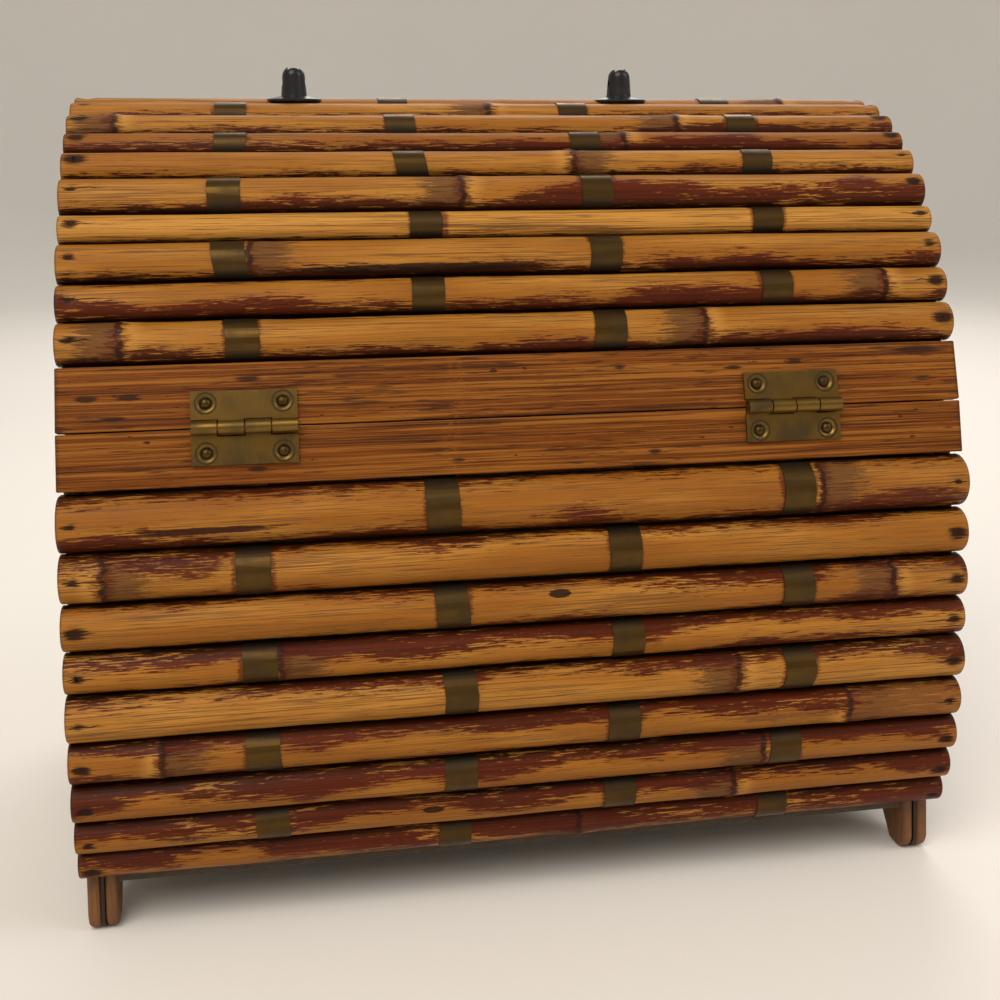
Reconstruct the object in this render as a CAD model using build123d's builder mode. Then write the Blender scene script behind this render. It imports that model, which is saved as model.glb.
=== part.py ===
"""Domed trinket box of split canes on two wooden end panels, with hinges, bail handle and catch.

Millimetres. X runs along the canes, +Y is the hinged back, +Z is up, and the feet stand on Z = 0.
"""

import os
from math import acos, asin, atan2, cos, degrees, hypot, radians, sin

from build123d import *

# Canes and slats
cane_length = 230.0
cane_side = 0.9
cane_end_chamfer = 0.5
slat_thickness = 4.0
lid_slat_width = 16.0
body_slat_width = 14.0
seam_gap = 0.3

# Widths of the picked canes, each run eased to fill its curve: from the seam up, and from the feet up
lid_cane_widths = (11.7, 10.6, 11.4, 8.7, 11.5, 9.8, 8.5, 9.5, 10.0)
crest_cane_width = 11.0
body_cane_widths = (8.7, 9.5, 10.3, 10.8, 12.0, 10.3, 11.5, 12.2, 14.0)

# End panels
panel_depth = 140.0
panel_thickness = 7.5
cane_overhang = 1.0
dome_height = 134.8
side_height = 17.4
tuck_radius = 82.0
tuck_turn = 25.7
seam_height = 129.0

# Feet and bottom board
foot_height = 17.0
foot_spread = 1.6
foot_width = 9.0
toe_radius = 4.5
heel_radius = 1.5
arch_height = 12.5
arch_slope = 10.5
arch_radius = 3.0
board_thickness = 5.0
board_clearance = 1.0

# Woven brass ribbons, placed along X from the hinged back's left to its right
ribbon_width = 8.3
ribbon_thickness = 0.3
ribbon_lap = 0.27
ribbon_tail = 6.0
lid_ribbon_places = (73.0, 26.0, -22.0, -68.0)
body_ribbon_places = (69.0, 21.0, -22.5, -67.0)

# Nails
nail_inset = 3.3
nail_head_radius = 1.0
nail_head_height = 0.6
nail_shank_radius = 0.55
nail_sink = 0.4
nail_depth = 6.0
board_nail_count = 3
board_nail_spacing = 42.0

# Butt hinges
hinge_places = (71.0, -68.0)
hinge_length = 25.4
hinge_knuckles = 4
leaf_width = 9.0
leaf_thickness = 1.0
knuckle_radius = 1.8
knuckle_clearance = 0.3
knuckle_end_gap = 0.15
pin_radius = 0.9
pin_clearance = 0.05

# Screws
screw_head_radius = 2.3
screw_head_depth = 0.8
screw_crown = 0.4
screw_shank_radius = 1.0
screw_bite = 3.5
screw_slot_width = 0.6
screw_slot_depth = 0.4
screw_spacing = 18.3
screw_reach = 5.7

# Handle posts
post_places = (55.5, -39.0)
post_height = 10.0
post_foot_radius = 3.6
post_neck_radius = 3.2
rosette_radius = 7.8
rosette_height = 1.5
rosette_rim = 0.6
post_seat_depth = 0.8
post_screw_radius = 1.2
post_screw_length = 3.8
pivot_height = 5.2

# Bail handle
bail_wire_radius = 1.25
bail_reach = 44.0
bail_corner_radius = 14.0
bail_eye_radius = 1.7
bail_pin_radius = 1.0
bail_pin_clearance = 0.06
bail_slot_clearance = 0.35
grip_radius = 3.0
grip_length = 52.0
bail_rest_gap = 0.5

# Front catch
catch_place = 0.0
hook_thickness = 1.2
hook_lift = 0.5
hook_eye_radius = 3.0
hook_arm_width = 2.6
hook_lobe_radius = 3.7
hook_tab_radius = 1.5
hook_slot_turn = 24.0
catch_pivot_radius = 1.1
catch_collar_radius = 1.8
catch_head_radius = 2.4
catch_head_height = 0.9
catch_clearance = 0.1
stud_radius = 1.3
stud_slot_clearance = 0.45
stud_reach = 2.8

# What follows from the driving sizes
cane_gap = 2 * ribbon_thickness
half_depth = panel_depth / 2
tuck_height = tuck_radius * sin(radians(tuck_turn))
dome_base = foot_height + tuck_height + side_height
lowest_depth = half_depth - tuck_radius * (1 - cos(radians(tuck_turn)))
seam_angle = degrees(asin((seam_height - dome_base) / dome_height))
panel_middle = cane_length / 2 - cane_overhang - panel_thickness / 2
panel_inside = cane_length / 2 - cane_overhang - panel_thickness

BACK, FRONT = 1, -1

os.makedirs("parts", exist_ok=True)


def keep(piece, name):
    """Label a finished piece and write it to its own file."""
    piece.part.label = name
    export_step(piece.part, f"parts/{name}.step")


# Half outline of the end panels: x is the depth from the middle, y the height
with BuildLine() as body_run:
    tuck_start = (sin(radians(tuck_turn)), cos(radians(tuck_turn)))
    tuck = JernArc((lowest_depth, foot_height), tuck_start, tuck_radius, tuck_turn)
    Line(tuck @ 1, (half_depth, dome_base))
    EllipticalCenterArc((0, dome_base), half_depth, dome_height, 0, arc_size=seam_angle)

with BuildLine() as lid_run:
    EllipticalCenterArc((0, dome_base), half_depth, dome_height, seam_angle, arc_size=90 - seam_angle)


class Row:
    """One cane or slat on the back: its seat is a chord of the panel outline, from low to high."""

    def __init__(self, name, low, high, order, thickness=None):
        self.name = name
        self.low = low
        self.high = high
        self.order = order
        self.along = (high - low).normalized()
        self.out = Vector(self.along.Y, -self.along.X)
        self.middle = (low + high) * 0.5
        self.half_seat = (high - low).length / 2
        self.half_width = self.half_seat - cane_gap / 2
        self.crown = thickness if thickness else cane_side + self.half_width

    def point(self, height, side=BACK, along=0.0):
        """Depth and height of a point above the seat, mirrored for the front."""
        spot = self.middle + self.out * height + self.along * along
        return Vector(side * spot.X, spot.Y)

    def section(self, side, x, height=0.0, along=0.0):
        """Plane across the row: its x runs up the seat and its y points out of the box."""
        spot = self.point(height, side, along)
        return Plane(
            origin=(x, spot.X, spot.Y),
            x_dir=(0, side * self.along.X, self.along.Y),
            z_dir=(-side, 0, 0),
        )

    def facing(self, side, x, height=0.0, along=0.0):
        """Plane on the row that faces out of the box, with its x along the box."""
        spot = self.point(height, side, along)
        return Plane(
            origin=(x, spot.X, spot.Y),
            x_dir=(1, 0, 0),
            z_dir=(0, side * self.out.X, self.out.Y),
        )


def run_points(run, start, end, widths):
    """Points that share a stretch of a run out by the given widths."""
    wire = run.wires()[0]
    ease = (end - start) / sum(widths)
    reach = [start]
    for width in widths:
        reach.append(reach[-1] + ease * width)
    return [wire.position_at(distance, PositionMode.LENGTH) for distance in reach]


body_length = body_run.wires()[0].length
lid_length = lid_run.wires()[0].length
seam_point = lid_run.wires()[0] @ 0
body_points = run_points(body_run, 0, body_length - body_slat_width, body_cane_widths)
lid_points = run_points(
    lid_run, lid_slat_width, lid_length, lid_cane_widths + (crest_cane_width / 2,)
)
lid_seam = seam_point + (lid_points[0] - seam_point).normalized() * (seam_gap / 2)
body_seam = seam_point + (body_points[-1] - seam_point).normalized() * (seam_gap / 2)

# Rows are counted from the crest down, so that a ribbon passes over every second one
crest_edge = lid_points[-2]
crest_row = Row("lid_cane_crest", crest_edge, Vector(-crest_edge.X, crest_edge.Y), 0)
lid_count = len(lid_cane_widths)
body_count = len(body_cane_widths)
lid_rows = []
for index in range(lid_count):
    order = lid_count - index
    lid_rows.append(Row(f"lid_cane_{{}}_{order}", lid_points[index], lid_points[index + 1], order))
body_rows = []
for index in range(body_count):
    number = body_count - index
    order = lid_count + 2 + number
    body_rows.append(
        Row(f"body_cane_{{}}_{number}", body_points[index], body_points[index + 1], order)
    )
lid_slat = Row("lid_slat_{}", lid_seam, lid_points[0], lid_count + 1, slat_thickness)
body_slat = Row("body_slat_{}", body_points[-1], body_seam, lid_count + 2, slat_thickness)
SIDES = ((BACK, "back"), (FRONT, "front"))
ENDS = ((1, "right"), (-1, "left"))

# Hinge axis: on the line that halves the bend of the seam, clear of the slats by the knuckle
seam_out = (lid_slat.out + body_slat.out).normalized()
leaf_drop = knuckle_radius + knuckle_clearance
hinge_axis = seam_point + seam_out * ((slat_thickness + leaf_drop) / seam_out.dot(lid_slat.out))
hinge_axis_point = (hinge_axis.X, hinge_axis.Y)


def nail_places(row, side, height):
    """Planes at both ends of a row, facing out, where its nails go in."""
    reach = cane_length / 2 - nail_inset
    return [row.facing(side, end * reach, height) for end, _ in ENDS]


def cane_section(half_width, foot=0.0, mode=Mode.ADD):
    """Add a half-round section on a flat seat, or below it by a foot, to the open sketch."""
    with BuildLine() as outline:
        Polyline((-half_width, cane_side), (-half_width, -foot), (half_width, -foot), (half_width, cane_side))
        CenterArc((0, cane_side), half_width, 0, 180)
    make_face(outline.edges(), mode=mode)


def make_cane(row, side, seats=()):
    """A half-round cane with chamfered ends, sunk nail holes and any flats for the posts."""
    with BuildPart() as cane:
        with BuildSketch(row.section(side, 0)):
            cane_section(row.half_width)
        extrude(amount=cane_length / 2, both=True)
        ends = cane.edges().group_by(Axis.X)
        chamfer(ends[0] + ends[-1], cane_end_chamfer)
        with Locations(*nail_places(row, side, row.crown)):
            CounterBoreHole(nail_shank_radius, nail_head_radius, nail_sink + nail_head_height, row.crown)
        for x in seats:
            with Locations(row.facing(side, x, row.crown)):
                Cylinder(rosette_radius, post_seat_depth, align=(Align.CENTER, Align.CENTER, Align.MAX),
                         mode=Mode.SUBTRACT)
                Hole(post_screw_radius, post_seat_depth + post_screw_length)
    keep(cane, row.name.format(dict(SIDES)[side]))


make_cane(crest_row, BACK, post_places)
for row in lid_rows + body_rows:
    for side, _ in SIDES:
        make_cane(row, side)


def screw_places(row, side, height, away):
    """Planes of the hinge screws on a slat, whose seam end lies the other way from away."""
    reach = away * (screw_reach - row.half_seat)
    places = []
    for x in hinge_places:
        for shift in (-screw_spacing / 2, screw_spacing / 2):
            places.append(row.facing(side, x + shift, height, reach))
    return places


def make_slat(row, side, away, pilot_radius, pilots):
    """A flat slat with nail holes, and pilot holes for what is screwed to it."""
    seam_end = -away * row.half_seat
    far_end = away * row.half_width
    with BuildPart() as slat:
        with BuildSketch(row.section(side, 0)):
            with BuildLine():
                Polyline((seam_end, 0), (far_end, 0), (far_end, slat_thickness), (seam_end, slat_thickness),
                         close=True)
            make_face()
        extrude(amount=cane_length / 2, both=True)
        ends = slat.edges().group_by(Axis.X)
        chamfer(ends[0] + ends[-1], cane_end_chamfer)
        with Locations(*nail_places(row, side, slat_thickness)):
            CounterBoreHole(nail_shank_radius, nail_head_radius, nail_sink + nail_head_height, slat_thickness)
        with Locations(*pilots):
            Hole(pilot_radius, screw_bite)
    keep(slat, row.name.format(dict(SIDES)[side]))


LID_AWAY, BODY_AWAY = 1, -1
make_slat(lid_slat, BACK, LID_AWAY, screw_shank_radius, screw_places(lid_slat, BACK, slat_thickness, LID_AWAY))
make_slat(body_slat, BACK, BODY_AWAY, screw_shank_radius,
          screw_places(body_slat, BACK, slat_thickness, BODY_AWAY))
make_slat(lid_slat, FRONT, LID_AWAY, catch_pivot_radius, [lid_slat.facing(FRONT, catch_place, slat_thickness)])
make_slat(body_slat, FRONT, BODY_AWAY, stud_radius, [body_slat.facing(FRONT, catch_place, slat_thickness)])


def panel_plane(end):
    """Plane in the middle of an end panel, with x to the back and y up."""
    return Plane(origin=(end * panel_middle, 0, 0), x_dir=(0, 1, 0), z_dir=(1, 0, 0))


def drill_edge(rows, end):
    """Nail holes in the open panel's edge, one under each row on both sides."""
    reach = end * (cane_length / 2 - nail_inset)
    for row in rows:
        sides = (BACK,) if row is crest_row else (BACK, FRONT)
        with Locations(*[row.facing(side, reach) for side in sides]):
            Hole(nail_shank_radius, nail_depth)


def mirrored(points):
    """The same points on the front."""
    return [Vector(-point.X, point.Y) for point in points]


board_middle = arch_height + board_thickness / 2
board_nail_places = [
    (index - (board_nail_count - 1) / 2) * board_nail_spacing for index in range(board_nail_count)
]

for end, end_name in ENDS:
    with BuildPart() as lid_panel:
        dome = [lid_seam] + lid_points[:-1]
        with BuildSketch(panel_plane(end)):
            Polygon(*dome, *reversed(mirrored(dome)), align=None)
        extrude(amount=panel_thickness / 2, both=True)
        drill_edge([crest_row, lid_slat] + lid_rows, end)
    keep(lid_panel, f"lid_end_panel_{end_name}")

    with BuildPart() as body_panel:
        toe = Vector(lowest_depth + foot_spread, 0)
        heel = toe - Vector(foot_width, 0)
        arch = Vector(heel.X - arch_slope, arch_height)
        flank = [arch, heel, toe] + body_points + [body_seam]
        with BuildSketch(panel_plane(end)) as body_outline:
            Polygon(*flank, *reversed(mirrored(flank)), align=None)
            for corner, radius in ((toe, toe_radius), (heel, heel_radius), (arch, arch_radius)):
                for spot in [corner] + mirrored([corner]):
                    fillet(body_outline.vertices().sort_by_distance(spot)[0], radius)
        extrude(amount=panel_thickness / 2, both=True)
        drill_edge([body_slat] + body_rows, end)
        with Locations(*[
            Plane(origin=(end * (panel_middle + panel_thickness / 2), y, board_middle), z_dir=(end, 0, 0))
            for y in board_nail_places
        ]):
            Hole(nail_shank_radius, panel_thickness)
    keep(body_panel, f"body_end_panel_{end_name}")

with BuildPart() as bottom_board:
    with Locations((0, 0, board_middle)):
        Box(2 * panel_inside, 2 * (lowest_depth - board_clearance), board_thickness)
    for end, _ in ENDS:
        with Locations(*[
            Plane(origin=(end * panel_inside, y, board_middle), z_dir=(end, 0, 0)) for y in board_nail_places
        ]):
            Hole(nail_shank_radius, nail_depth)
keep(bottom_board, "bottom_board")


def weave(rows, side, column, slat, tail_away):
    """One ribbon's turns at X = 0: over every second cane, under the rest, its tail behind a slat."""
    turns = []
    for row in rows:
        with BuildSketch(row.section(side, 0)) as turn:
            if (row.order + column) % 2:
                cane_section(row.half_width + ribbon_thickness, ribbon_thickness)
                cane_section(row.half_width, ribbon_thickness, Mode.SUBTRACT)
            else:
                with Locations((0, -ribbon_thickness / 2)):
                    Rectangle(2 * (row.half_seat + ribbon_lap), ribbon_thickness)
        turns.append(turn.sketch)
    with BuildSketch(slat.section(side, 0)) as tail:
        near = tail_away * (slat.half_seat + ribbon_lap)
        with Locations((near - tail_away * ribbon_tail / 2, -ribbon_thickness / 2)):
            Rectangle(ribbon_tail, ribbon_thickness)
    turns.append(tail.sketch)
    return [extrude(turn, amount=ribbon_width / 2, both=True, mode=Mode.PRIVATE) for turn in turns]


def make_ribbon(turns):
    """A ribbon at X = 0, joined from its turns."""
    with BuildPart() as ribbon:
        add(turns)
    return ribbon.part


def spread(ribbons, places):
    """Ribbons of the two weaves in turn, one at each place along X."""
    return [Pos(x, 0, 0) * ribbons[column % 2] for column, x in enumerate(places)]


lid_weaves = [
    make_ribbon(weave(lid_rows + [crest_row], BACK, column, lid_slat, LID_AWAY)
                + weave(lid_rows, FRONT, column, lid_slat, LID_AWAY))
    for column in range(2)
]
with BuildPart() as lid_ribbons:
    add(spread(lid_weaves, lid_ribbon_places))
keep(lid_ribbons, "lid_ribbons")

body_ribbon_list = []
for side, _ in SIDES:
    body_weaves = [
        make_ribbon(weave(body_rows, side, column, body_slat, BODY_AWAY)) for column in range(2)
    ]
    body_ribbon_list += spread(body_weaves, body_ribbon_places)
with BuildPart() as body_ribbons:
    add(body_ribbon_list)
keep(body_ribbons, "body_ribbons")


def make_nail(place, crown):
    """A nail at a plane: its head sunk in the face, its shank through it into the panel edge."""
    with BuildPart(place) as nail:
        with Locations((0, 0, -nail_sink)):
            Cylinder(nail_head_radius, nail_head_height, align=(Align.CENTER, Align.CENTER, Align.MAX))
        with Locations((0, 0, -nail_sink - nail_head_height)):
            Cylinder(nail_shank_radius, crown + nail_depth - nail_sink - nail_head_height,
                     align=(Align.CENTER, Align.CENTER, Align.MAX))
    return nail.part


def row_nails(row):
    """The nails at both ends of a row, on the sides where it has a cane or slat."""
    sides = (BACK,) if row is crest_row else (BACK, FRONT)
    places = [place for side in sides for place in nail_places(row, side, row.crown)]
    return [make_nail(place, row.crown) for place in places]


with BuildPart() as lid_nails:
    add([nail for row in [crest_row, lid_slat] + lid_rows for nail in row_nails(row)])
keep(lid_nails, "lid_nails")

board_nails = []
for end, _ in ENDS:
    for y in board_nail_places:
        proud = nail_sink + nail_head_height
        place = Plane(origin=(end * (panel_inside + panel_thickness + proud), y, board_middle),
                      z_dir=(end, 0, 0))
        board_nails.append(make_nail(place, panel_thickness + proud))
with BuildPart() as body_nails:
    add([nail for row in [body_slat] + body_rows for nail in row_nails(row)] + board_nails)
keep(body_nails, "body_nails")


def hinge_plane(row, x, away):
    """Plane across a hinge at its axis, with x along the slat away from the seam and y out of the box."""
    return Plane(
        origin=(x, *hinge_axis_point),
        x_dir=(0, away * row.along.X, away * row.along.Y),
        z_dir=(-away, 0, 0),
    )


def make_leaves(row, away, own_knuckles, name):
    """Both hinges' leaves on one slat: plate, own knuckles round the pin, and countersunk screw holes."""
    knuckle_length = hinge_length / hinge_knuckles
    with BuildPart() as leaves:
        for x in hinge_places:
            plate_start = knuckle_radius + knuckle_clearance
            with BuildSketch(hinge_plane(row, x, away)):
                with Locations((plate_start, -leaf_drop)):
                    Rectangle(leaf_width - plate_start, leaf_thickness, align=(Align.MIN, Align.MIN))
            extrude(amount=hinge_length / 2, both=True)
            for knuckle in own_knuckles:
                shift = (knuckle - (hinge_knuckles - 1) / 2) * knuckle_length
                with BuildSketch(hinge_plane(row, x + shift, away)):
                    Circle(knuckle_radius)
                    with Locations((0, -leaf_drop)):
                        Rectangle(plate_start + leaf_thickness, leaf_thickness, align=(Align.MIN, Align.MIN))
                extrude(amount=knuckle_length / 2 - knuckle_end_gap, both=True)
            with BuildSketch(hinge_plane(row, x, away)):
                Circle(pin_radius + pin_clearance)
            extrude(amount=hinge_length / 2, both=True, mode=Mode.SUBTRACT)
        with Locations(*screw_places(row, BACK, slat_thickness + leaf_thickness, away)):
            Hole(screw_shank_radius, leaf_thickness)
            Cone(screw_shank_radius, screw_head_radius, screw_head_depth,
                 align=(Align.CENTER, Align.CENTER, Align.MAX), mode=Mode.SUBTRACT)
    keep(leaves, name)


make_leaves(lid_slat, LID_AWAY, range(0, hinge_knuckles, 2), "lid_hinge_leaves")
make_leaves(body_slat, BODY_AWAY, range(1, hinge_knuckles, 2), "body_hinge_leaves")

with BuildPart() as hinge_pins:
    for x in hinge_places:
        with BuildSketch(hinge_plane(lid_slat, x, LID_AWAY)):
            Circle(pin_radius)
        extrude(amount=hinge_length / 2, both=True)
keep(hinge_pins, "hinge_pins")


crown_radius = (screw_head_radius**2 + screw_crown**2) / (2 * screw_crown)
crown_turn = degrees(asin(screw_head_radius / crown_radius))


def make_screws(row, away, name):
    """Four slotted screws with crowned countersunk heads."""
    with BuildPart() as screws:
        for place in screw_places(row, BACK, slat_thickness + leaf_thickness, away):
            across = Plane(origin=place.origin, x_dir=place.x_dir, z_dir=-place.y_dir)
            with BuildSketch(across):
                with BuildLine():
                    CenterArc((0, screw_crown - crown_radius), crown_radius, 90 - crown_turn, crown_turn)
                    Polyline((screw_head_radius, 0), (screw_shank_radius, -screw_head_depth),
                             (screw_shank_radius, -leaf_thickness - screw_bite),
                             (0, -leaf_thickness - screw_bite), (0, screw_crown))
                make_face()
            revolve(axis=Axis(place.origin, place.z_dir))
            with Locations(place.offset(screw_crown)):
                Box(2 * screw_head_radius, screw_slot_width, 2 * screw_slot_depth, mode=Mode.SUBTRACT)
    keep(screws, name)


make_screws(lid_slat, LID_AWAY, "lid_hinge_screws")
make_screws(body_slat, BODY_AWAY, "body_hinge_screws")

# Handle posts: a rosette on a flat of the crest cane, and a bullet slotted from the front for the bail
seat_height = crest_row.point(crest_row.crown).Y - post_seat_depth
pivot_level = seat_height + pivot_height
slot_half_width = bail_wire_radius + bail_slot_clearance

with BuildPart() as handle_posts:
    for x in post_places:
        with BuildSketch(Plane(origin=(x, 0, seat_height), x_dir=(1, 0, 0), z_dir=(0, -1, 0))):
            with BuildLine():
                Polyline((0, -post_screw_length), (post_screw_radius, -post_screw_length),
                         (post_screw_radius, 0), (rosette_radius, 0), (rosette_radius, rosette_rim))
                dome = Line((rosette_radius, rosette_rim), (post_foot_radius, rosette_height))
                neck_top = post_height - post_neck_radius
                Line(dome @ 1, (post_neck_radius, neck_top))
                CenterArc((0, neck_top), post_neck_radius, 0, 90)
                Line((0, post_height), (0, -post_screw_length))
            make_face()
        revolve(axis=Axis((x, 0, 0), (0, 0, 1)))
        slot_floor = seat_height + rosette_height
        with Locations((x, bail_eye_radius + bail_slot_clearance, slot_floor)):
            Box(2 * slot_half_width, 2 * post_foot_radius, post_height,
                align=(Align.CENTER, Align.MAX, Align.MIN), mode=Mode.SUBTRACT)
        with Locations(Plane(origin=(x, 0, pivot_level), z_dir=(1, 0, 0))):
            Cylinder(bail_pin_radius + bail_pin_clearance, 2 * post_foot_radius, mode=Mode.SUBTRACT)
keep(handle_posts, "handle_posts")


def bail_rest_angle():
    """How far below level the folded bail lies, just clear of the canes and the rosettes."""
    limits = []
    for row in lid_rows:
        spot = row.point(cane_side)
        away = hypot(spot.X, pivot_level - spot.Y)
        below = atan2(pivot_level - spot.Y, spot.X)
        wire_room = row.half_width + bail_wire_radius + bail_rest_gap
        grip_room = row.half_width + grip_radius + bail_rest_gap
        if wire_room < away < bail_reach:
            limits.append(below - asin(wire_room / away))
        if abs(away - bail_reach) < grip_room:
            limits.append(below - acos((away**2 + bail_reach**2 - grip_room**2) / (2 * away * bail_reach)))
    rim_drop = pivot_height - rosette_rim
    rim_away = hypot(rosette_radius, rim_drop)
    limits.append(atan2(rim_drop, rosette_radius) - asin((bail_wire_radius + bail_rest_gap) / rim_away))
    return degrees(min(limits))


bail_plane = Plane.XY.offset(pivot_level).rotated((bail_rest_angle(), 0, 0))
post_middle = sum(post_places) / len(post_places)
bail_pin_length = slot_half_width + post_neck_radius

with BuildPart() as bail_handle:
    left, right = post_places
    with BuildLine(bail_plane) as bail_path:
        FilletPolyline((left, 0), (left, -bail_reach), (right, -bail_reach), (right, 0),
                       radius=bail_corner_radius)
    with BuildSketch(Plane(origin=bail_path.line @ 0, z_dir=bail_path.line % 0)):
        Circle(bail_wire_radius)
    sweep()
    for x in post_places:
        with Locations(Plane(origin=(x, 0, pivot_level), z_dir=(1, 0, 0))):
            Cylinder(bail_eye_radius, 2 * bail_wire_radius)
            Cylinder(bail_pin_radius, bail_pin_length)
    grip_spot = bail_plane.from_local_coords(Vector(post_middle, -bail_reach))
    with Locations(Plane(origin=grip_spot, z_dir=(1, 0, 0))):
        grip = Cylinder(grip_radius, grip_length)
    fillet(grip.edges(), grip_radius - bail_wire_radius - bail_rest_gap)
keep(bail_handle, "bail_handle")

# Front catch: the hook turns on a collared screw in the lid's slat and slips round a stud on the body's
hook_plane = lid_slat.facing(FRONT, catch_place, slat_thickness + hook_lift)
hook_middle = hook_lift + hook_thickness / 2
stud_spot = body_slat.point(slat_thickness + hook_middle, FRONT)
stud_in_hook = hook_plane.to_local_coords(Vector(catch_place, stud_spot.X, stud_spot.Y))
hook_reach = abs(stud_in_hook.Y)

with BuildPart() as catch_hook:
    with BuildSketch(hook_plane):
        Circle(hook_eye_radius)
        with Locations((hook_reach / 2, 0)):
            Rectangle(hook_reach, hook_arm_width)
        with Locations((hook_reach, 0)):
            Circle(hook_lobe_radius)
        with Locations((hook_reach + hook_lobe_radius, 0)):
            Circle(hook_tab_radius)
        with BuildLine():
            slot_line = CenterArc((0, 0), hook_reach, 0, -hook_slot_turn)
        trace(slot_line, 2 * (stud_radius + stud_slot_clearance), mode=Mode.SUBTRACT)
        with Locations((hook_reach, 0)):
            Circle(stud_radius + stud_slot_clearance, mode=Mode.SUBTRACT)
        Circle(catch_pivot_radius + catch_clearance, mode=Mode.SUBTRACT)
    extrude(amount=hook_thickness)
keep(catch_hook, "catch_hook")


def turned(name, base, steps):
    """A turned pin on a slat: stacked cylinders given by radius, low end and high end above the slat."""
    with BuildPart() as pin:
        for radius, low, high in steps:
            with Locations(base.offset(low)):
                Cylinder(radius, high - low, align=(Align.CENTER, Align.CENTER, Align.MIN))
    keep(pin, name)


head_low = hook_lift + hook_thickness + catch_clearance
turned("catch_screw", lid_slat.facing(FRONT, catch_place, slat_thickness), (
    (catch_pivot_radius, -screw_bite, head_low),
    (catch_collar_radius, 0, hook_lift - catch_clearance),
    (catch_head_radius, head_low, head_low + catch_head_height),
))
turned("catch_stud", body_slat.facing(FRONT, catch_place, slat_thickness), (
    (stud_radius, -screw_bite, stud_reach),
    (catch_head_radius, stud_reach, stud_reach + catch_head_height),
))
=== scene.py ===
import math
import random

import bmesh
import bpy
from bpy.props import FloatProperty, FloatVectorProperty, IntProperty, PointerProperty
from mathutils import Matrix, Vector, noise


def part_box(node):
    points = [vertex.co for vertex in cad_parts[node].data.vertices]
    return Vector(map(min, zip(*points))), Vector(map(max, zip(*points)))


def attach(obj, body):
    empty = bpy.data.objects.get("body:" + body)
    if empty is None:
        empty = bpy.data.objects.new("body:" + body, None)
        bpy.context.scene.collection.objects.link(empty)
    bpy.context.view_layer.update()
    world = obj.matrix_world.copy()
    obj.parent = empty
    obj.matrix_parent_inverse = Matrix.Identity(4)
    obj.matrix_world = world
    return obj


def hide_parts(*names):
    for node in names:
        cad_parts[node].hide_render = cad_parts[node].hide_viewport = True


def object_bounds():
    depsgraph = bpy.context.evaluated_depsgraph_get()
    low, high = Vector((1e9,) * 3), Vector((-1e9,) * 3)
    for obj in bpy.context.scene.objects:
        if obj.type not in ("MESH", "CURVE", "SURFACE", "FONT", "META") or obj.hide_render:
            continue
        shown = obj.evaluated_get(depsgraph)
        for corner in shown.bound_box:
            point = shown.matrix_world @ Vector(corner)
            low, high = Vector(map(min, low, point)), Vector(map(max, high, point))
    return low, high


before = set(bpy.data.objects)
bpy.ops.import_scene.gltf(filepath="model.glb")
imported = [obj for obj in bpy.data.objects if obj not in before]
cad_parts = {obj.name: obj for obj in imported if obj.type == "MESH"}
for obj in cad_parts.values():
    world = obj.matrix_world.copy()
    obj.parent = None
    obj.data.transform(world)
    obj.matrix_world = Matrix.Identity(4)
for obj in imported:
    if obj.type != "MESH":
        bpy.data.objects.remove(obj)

bl_info = {
    "name": "Cane Trinket Box",
    "version": (1, 0, 0),
    "blender": (4, 5, 0),
    "location": "View3D > Sidebar > Trinket Box",
    "description": "Dresses a domed box of split canes with woven brass ribbons, hinges, handle and catch",
    "category": "Object",
}

CAD_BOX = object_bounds()
MM = 0.001
TINY = 1e-6
ROWS = range(1, 10)

# A point well inside the box, in metres, from which outward sides are told
INSIDE = Vector((0.0, 0.0, 0.11))

# Millimetres: half a cane's length, the nails' distance from its ends, and half a ribbon's width
HALF_LENGTH = round(CAD_BOX[1][0] / MM, 1)
NAIL_INSET = 3.3
RIBBON_HALF = 4.15

# Millimetres: the distances at which joints, ribbons and slots stop mattering
FAR_JOINT = 30.0
FAR_RIBBON = 20.0
FAR_SLOT = 9.0

# Cuts along and across a slat, and the wear of its outer edge in millimetres
SLAT_CUTS_ALONG = 229
SLAT_CUTS_ACROSS = 11
SLAT_WEAR = 0.22

# Metres: radius of the round backdrop, height of its wall, and the rounding between floor and wall
FLOOR_RADIUS = 2.4
WALL_HEIGHT = 2.2
FLOOR_ROUNDING = 1.0

# Bamboo joints of the canes on the hinged back: place along X in millimetres, and the side on which the
# sheath's scar lies
JOINTS = {
    "lid_cane_crest": ((-88, 1),),
    "lid_cane_back_1": ((2, 1),),
    "lid_cane_back_2": ((103, 1), (-50, 1)),
    "lid_cane_back_3": ((-33, 1),),
    "lid_cane_back_4": ((-17, -1),),
    "lid_cane_back_5": ((14, 1),),
    "lid_cane_back_7": ((69, -1),),
    "lid_cane_back_8": ((-97, 1),),
    "lid_cane_back_9": ((100, 1), (-46, 1)),
    "body_cane_back_1": ((-74, -1),),
    "body_cane_back_2": ((105, -1),),
    "body_cane_back_3": ((-94, 1),),
    "body_cane_back_4": ((64, -1),),
    "body_cane_back_5": ((-52, 1),),
    "body_cane_back_6": ((93, -1), (-83, -1)),
    "body_cane_back_7": ((-60, 1),),
    "body_cane_back_8": ((-53, 1),),
    "body_cane_back_9": ((-12, 1),),
}

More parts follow.
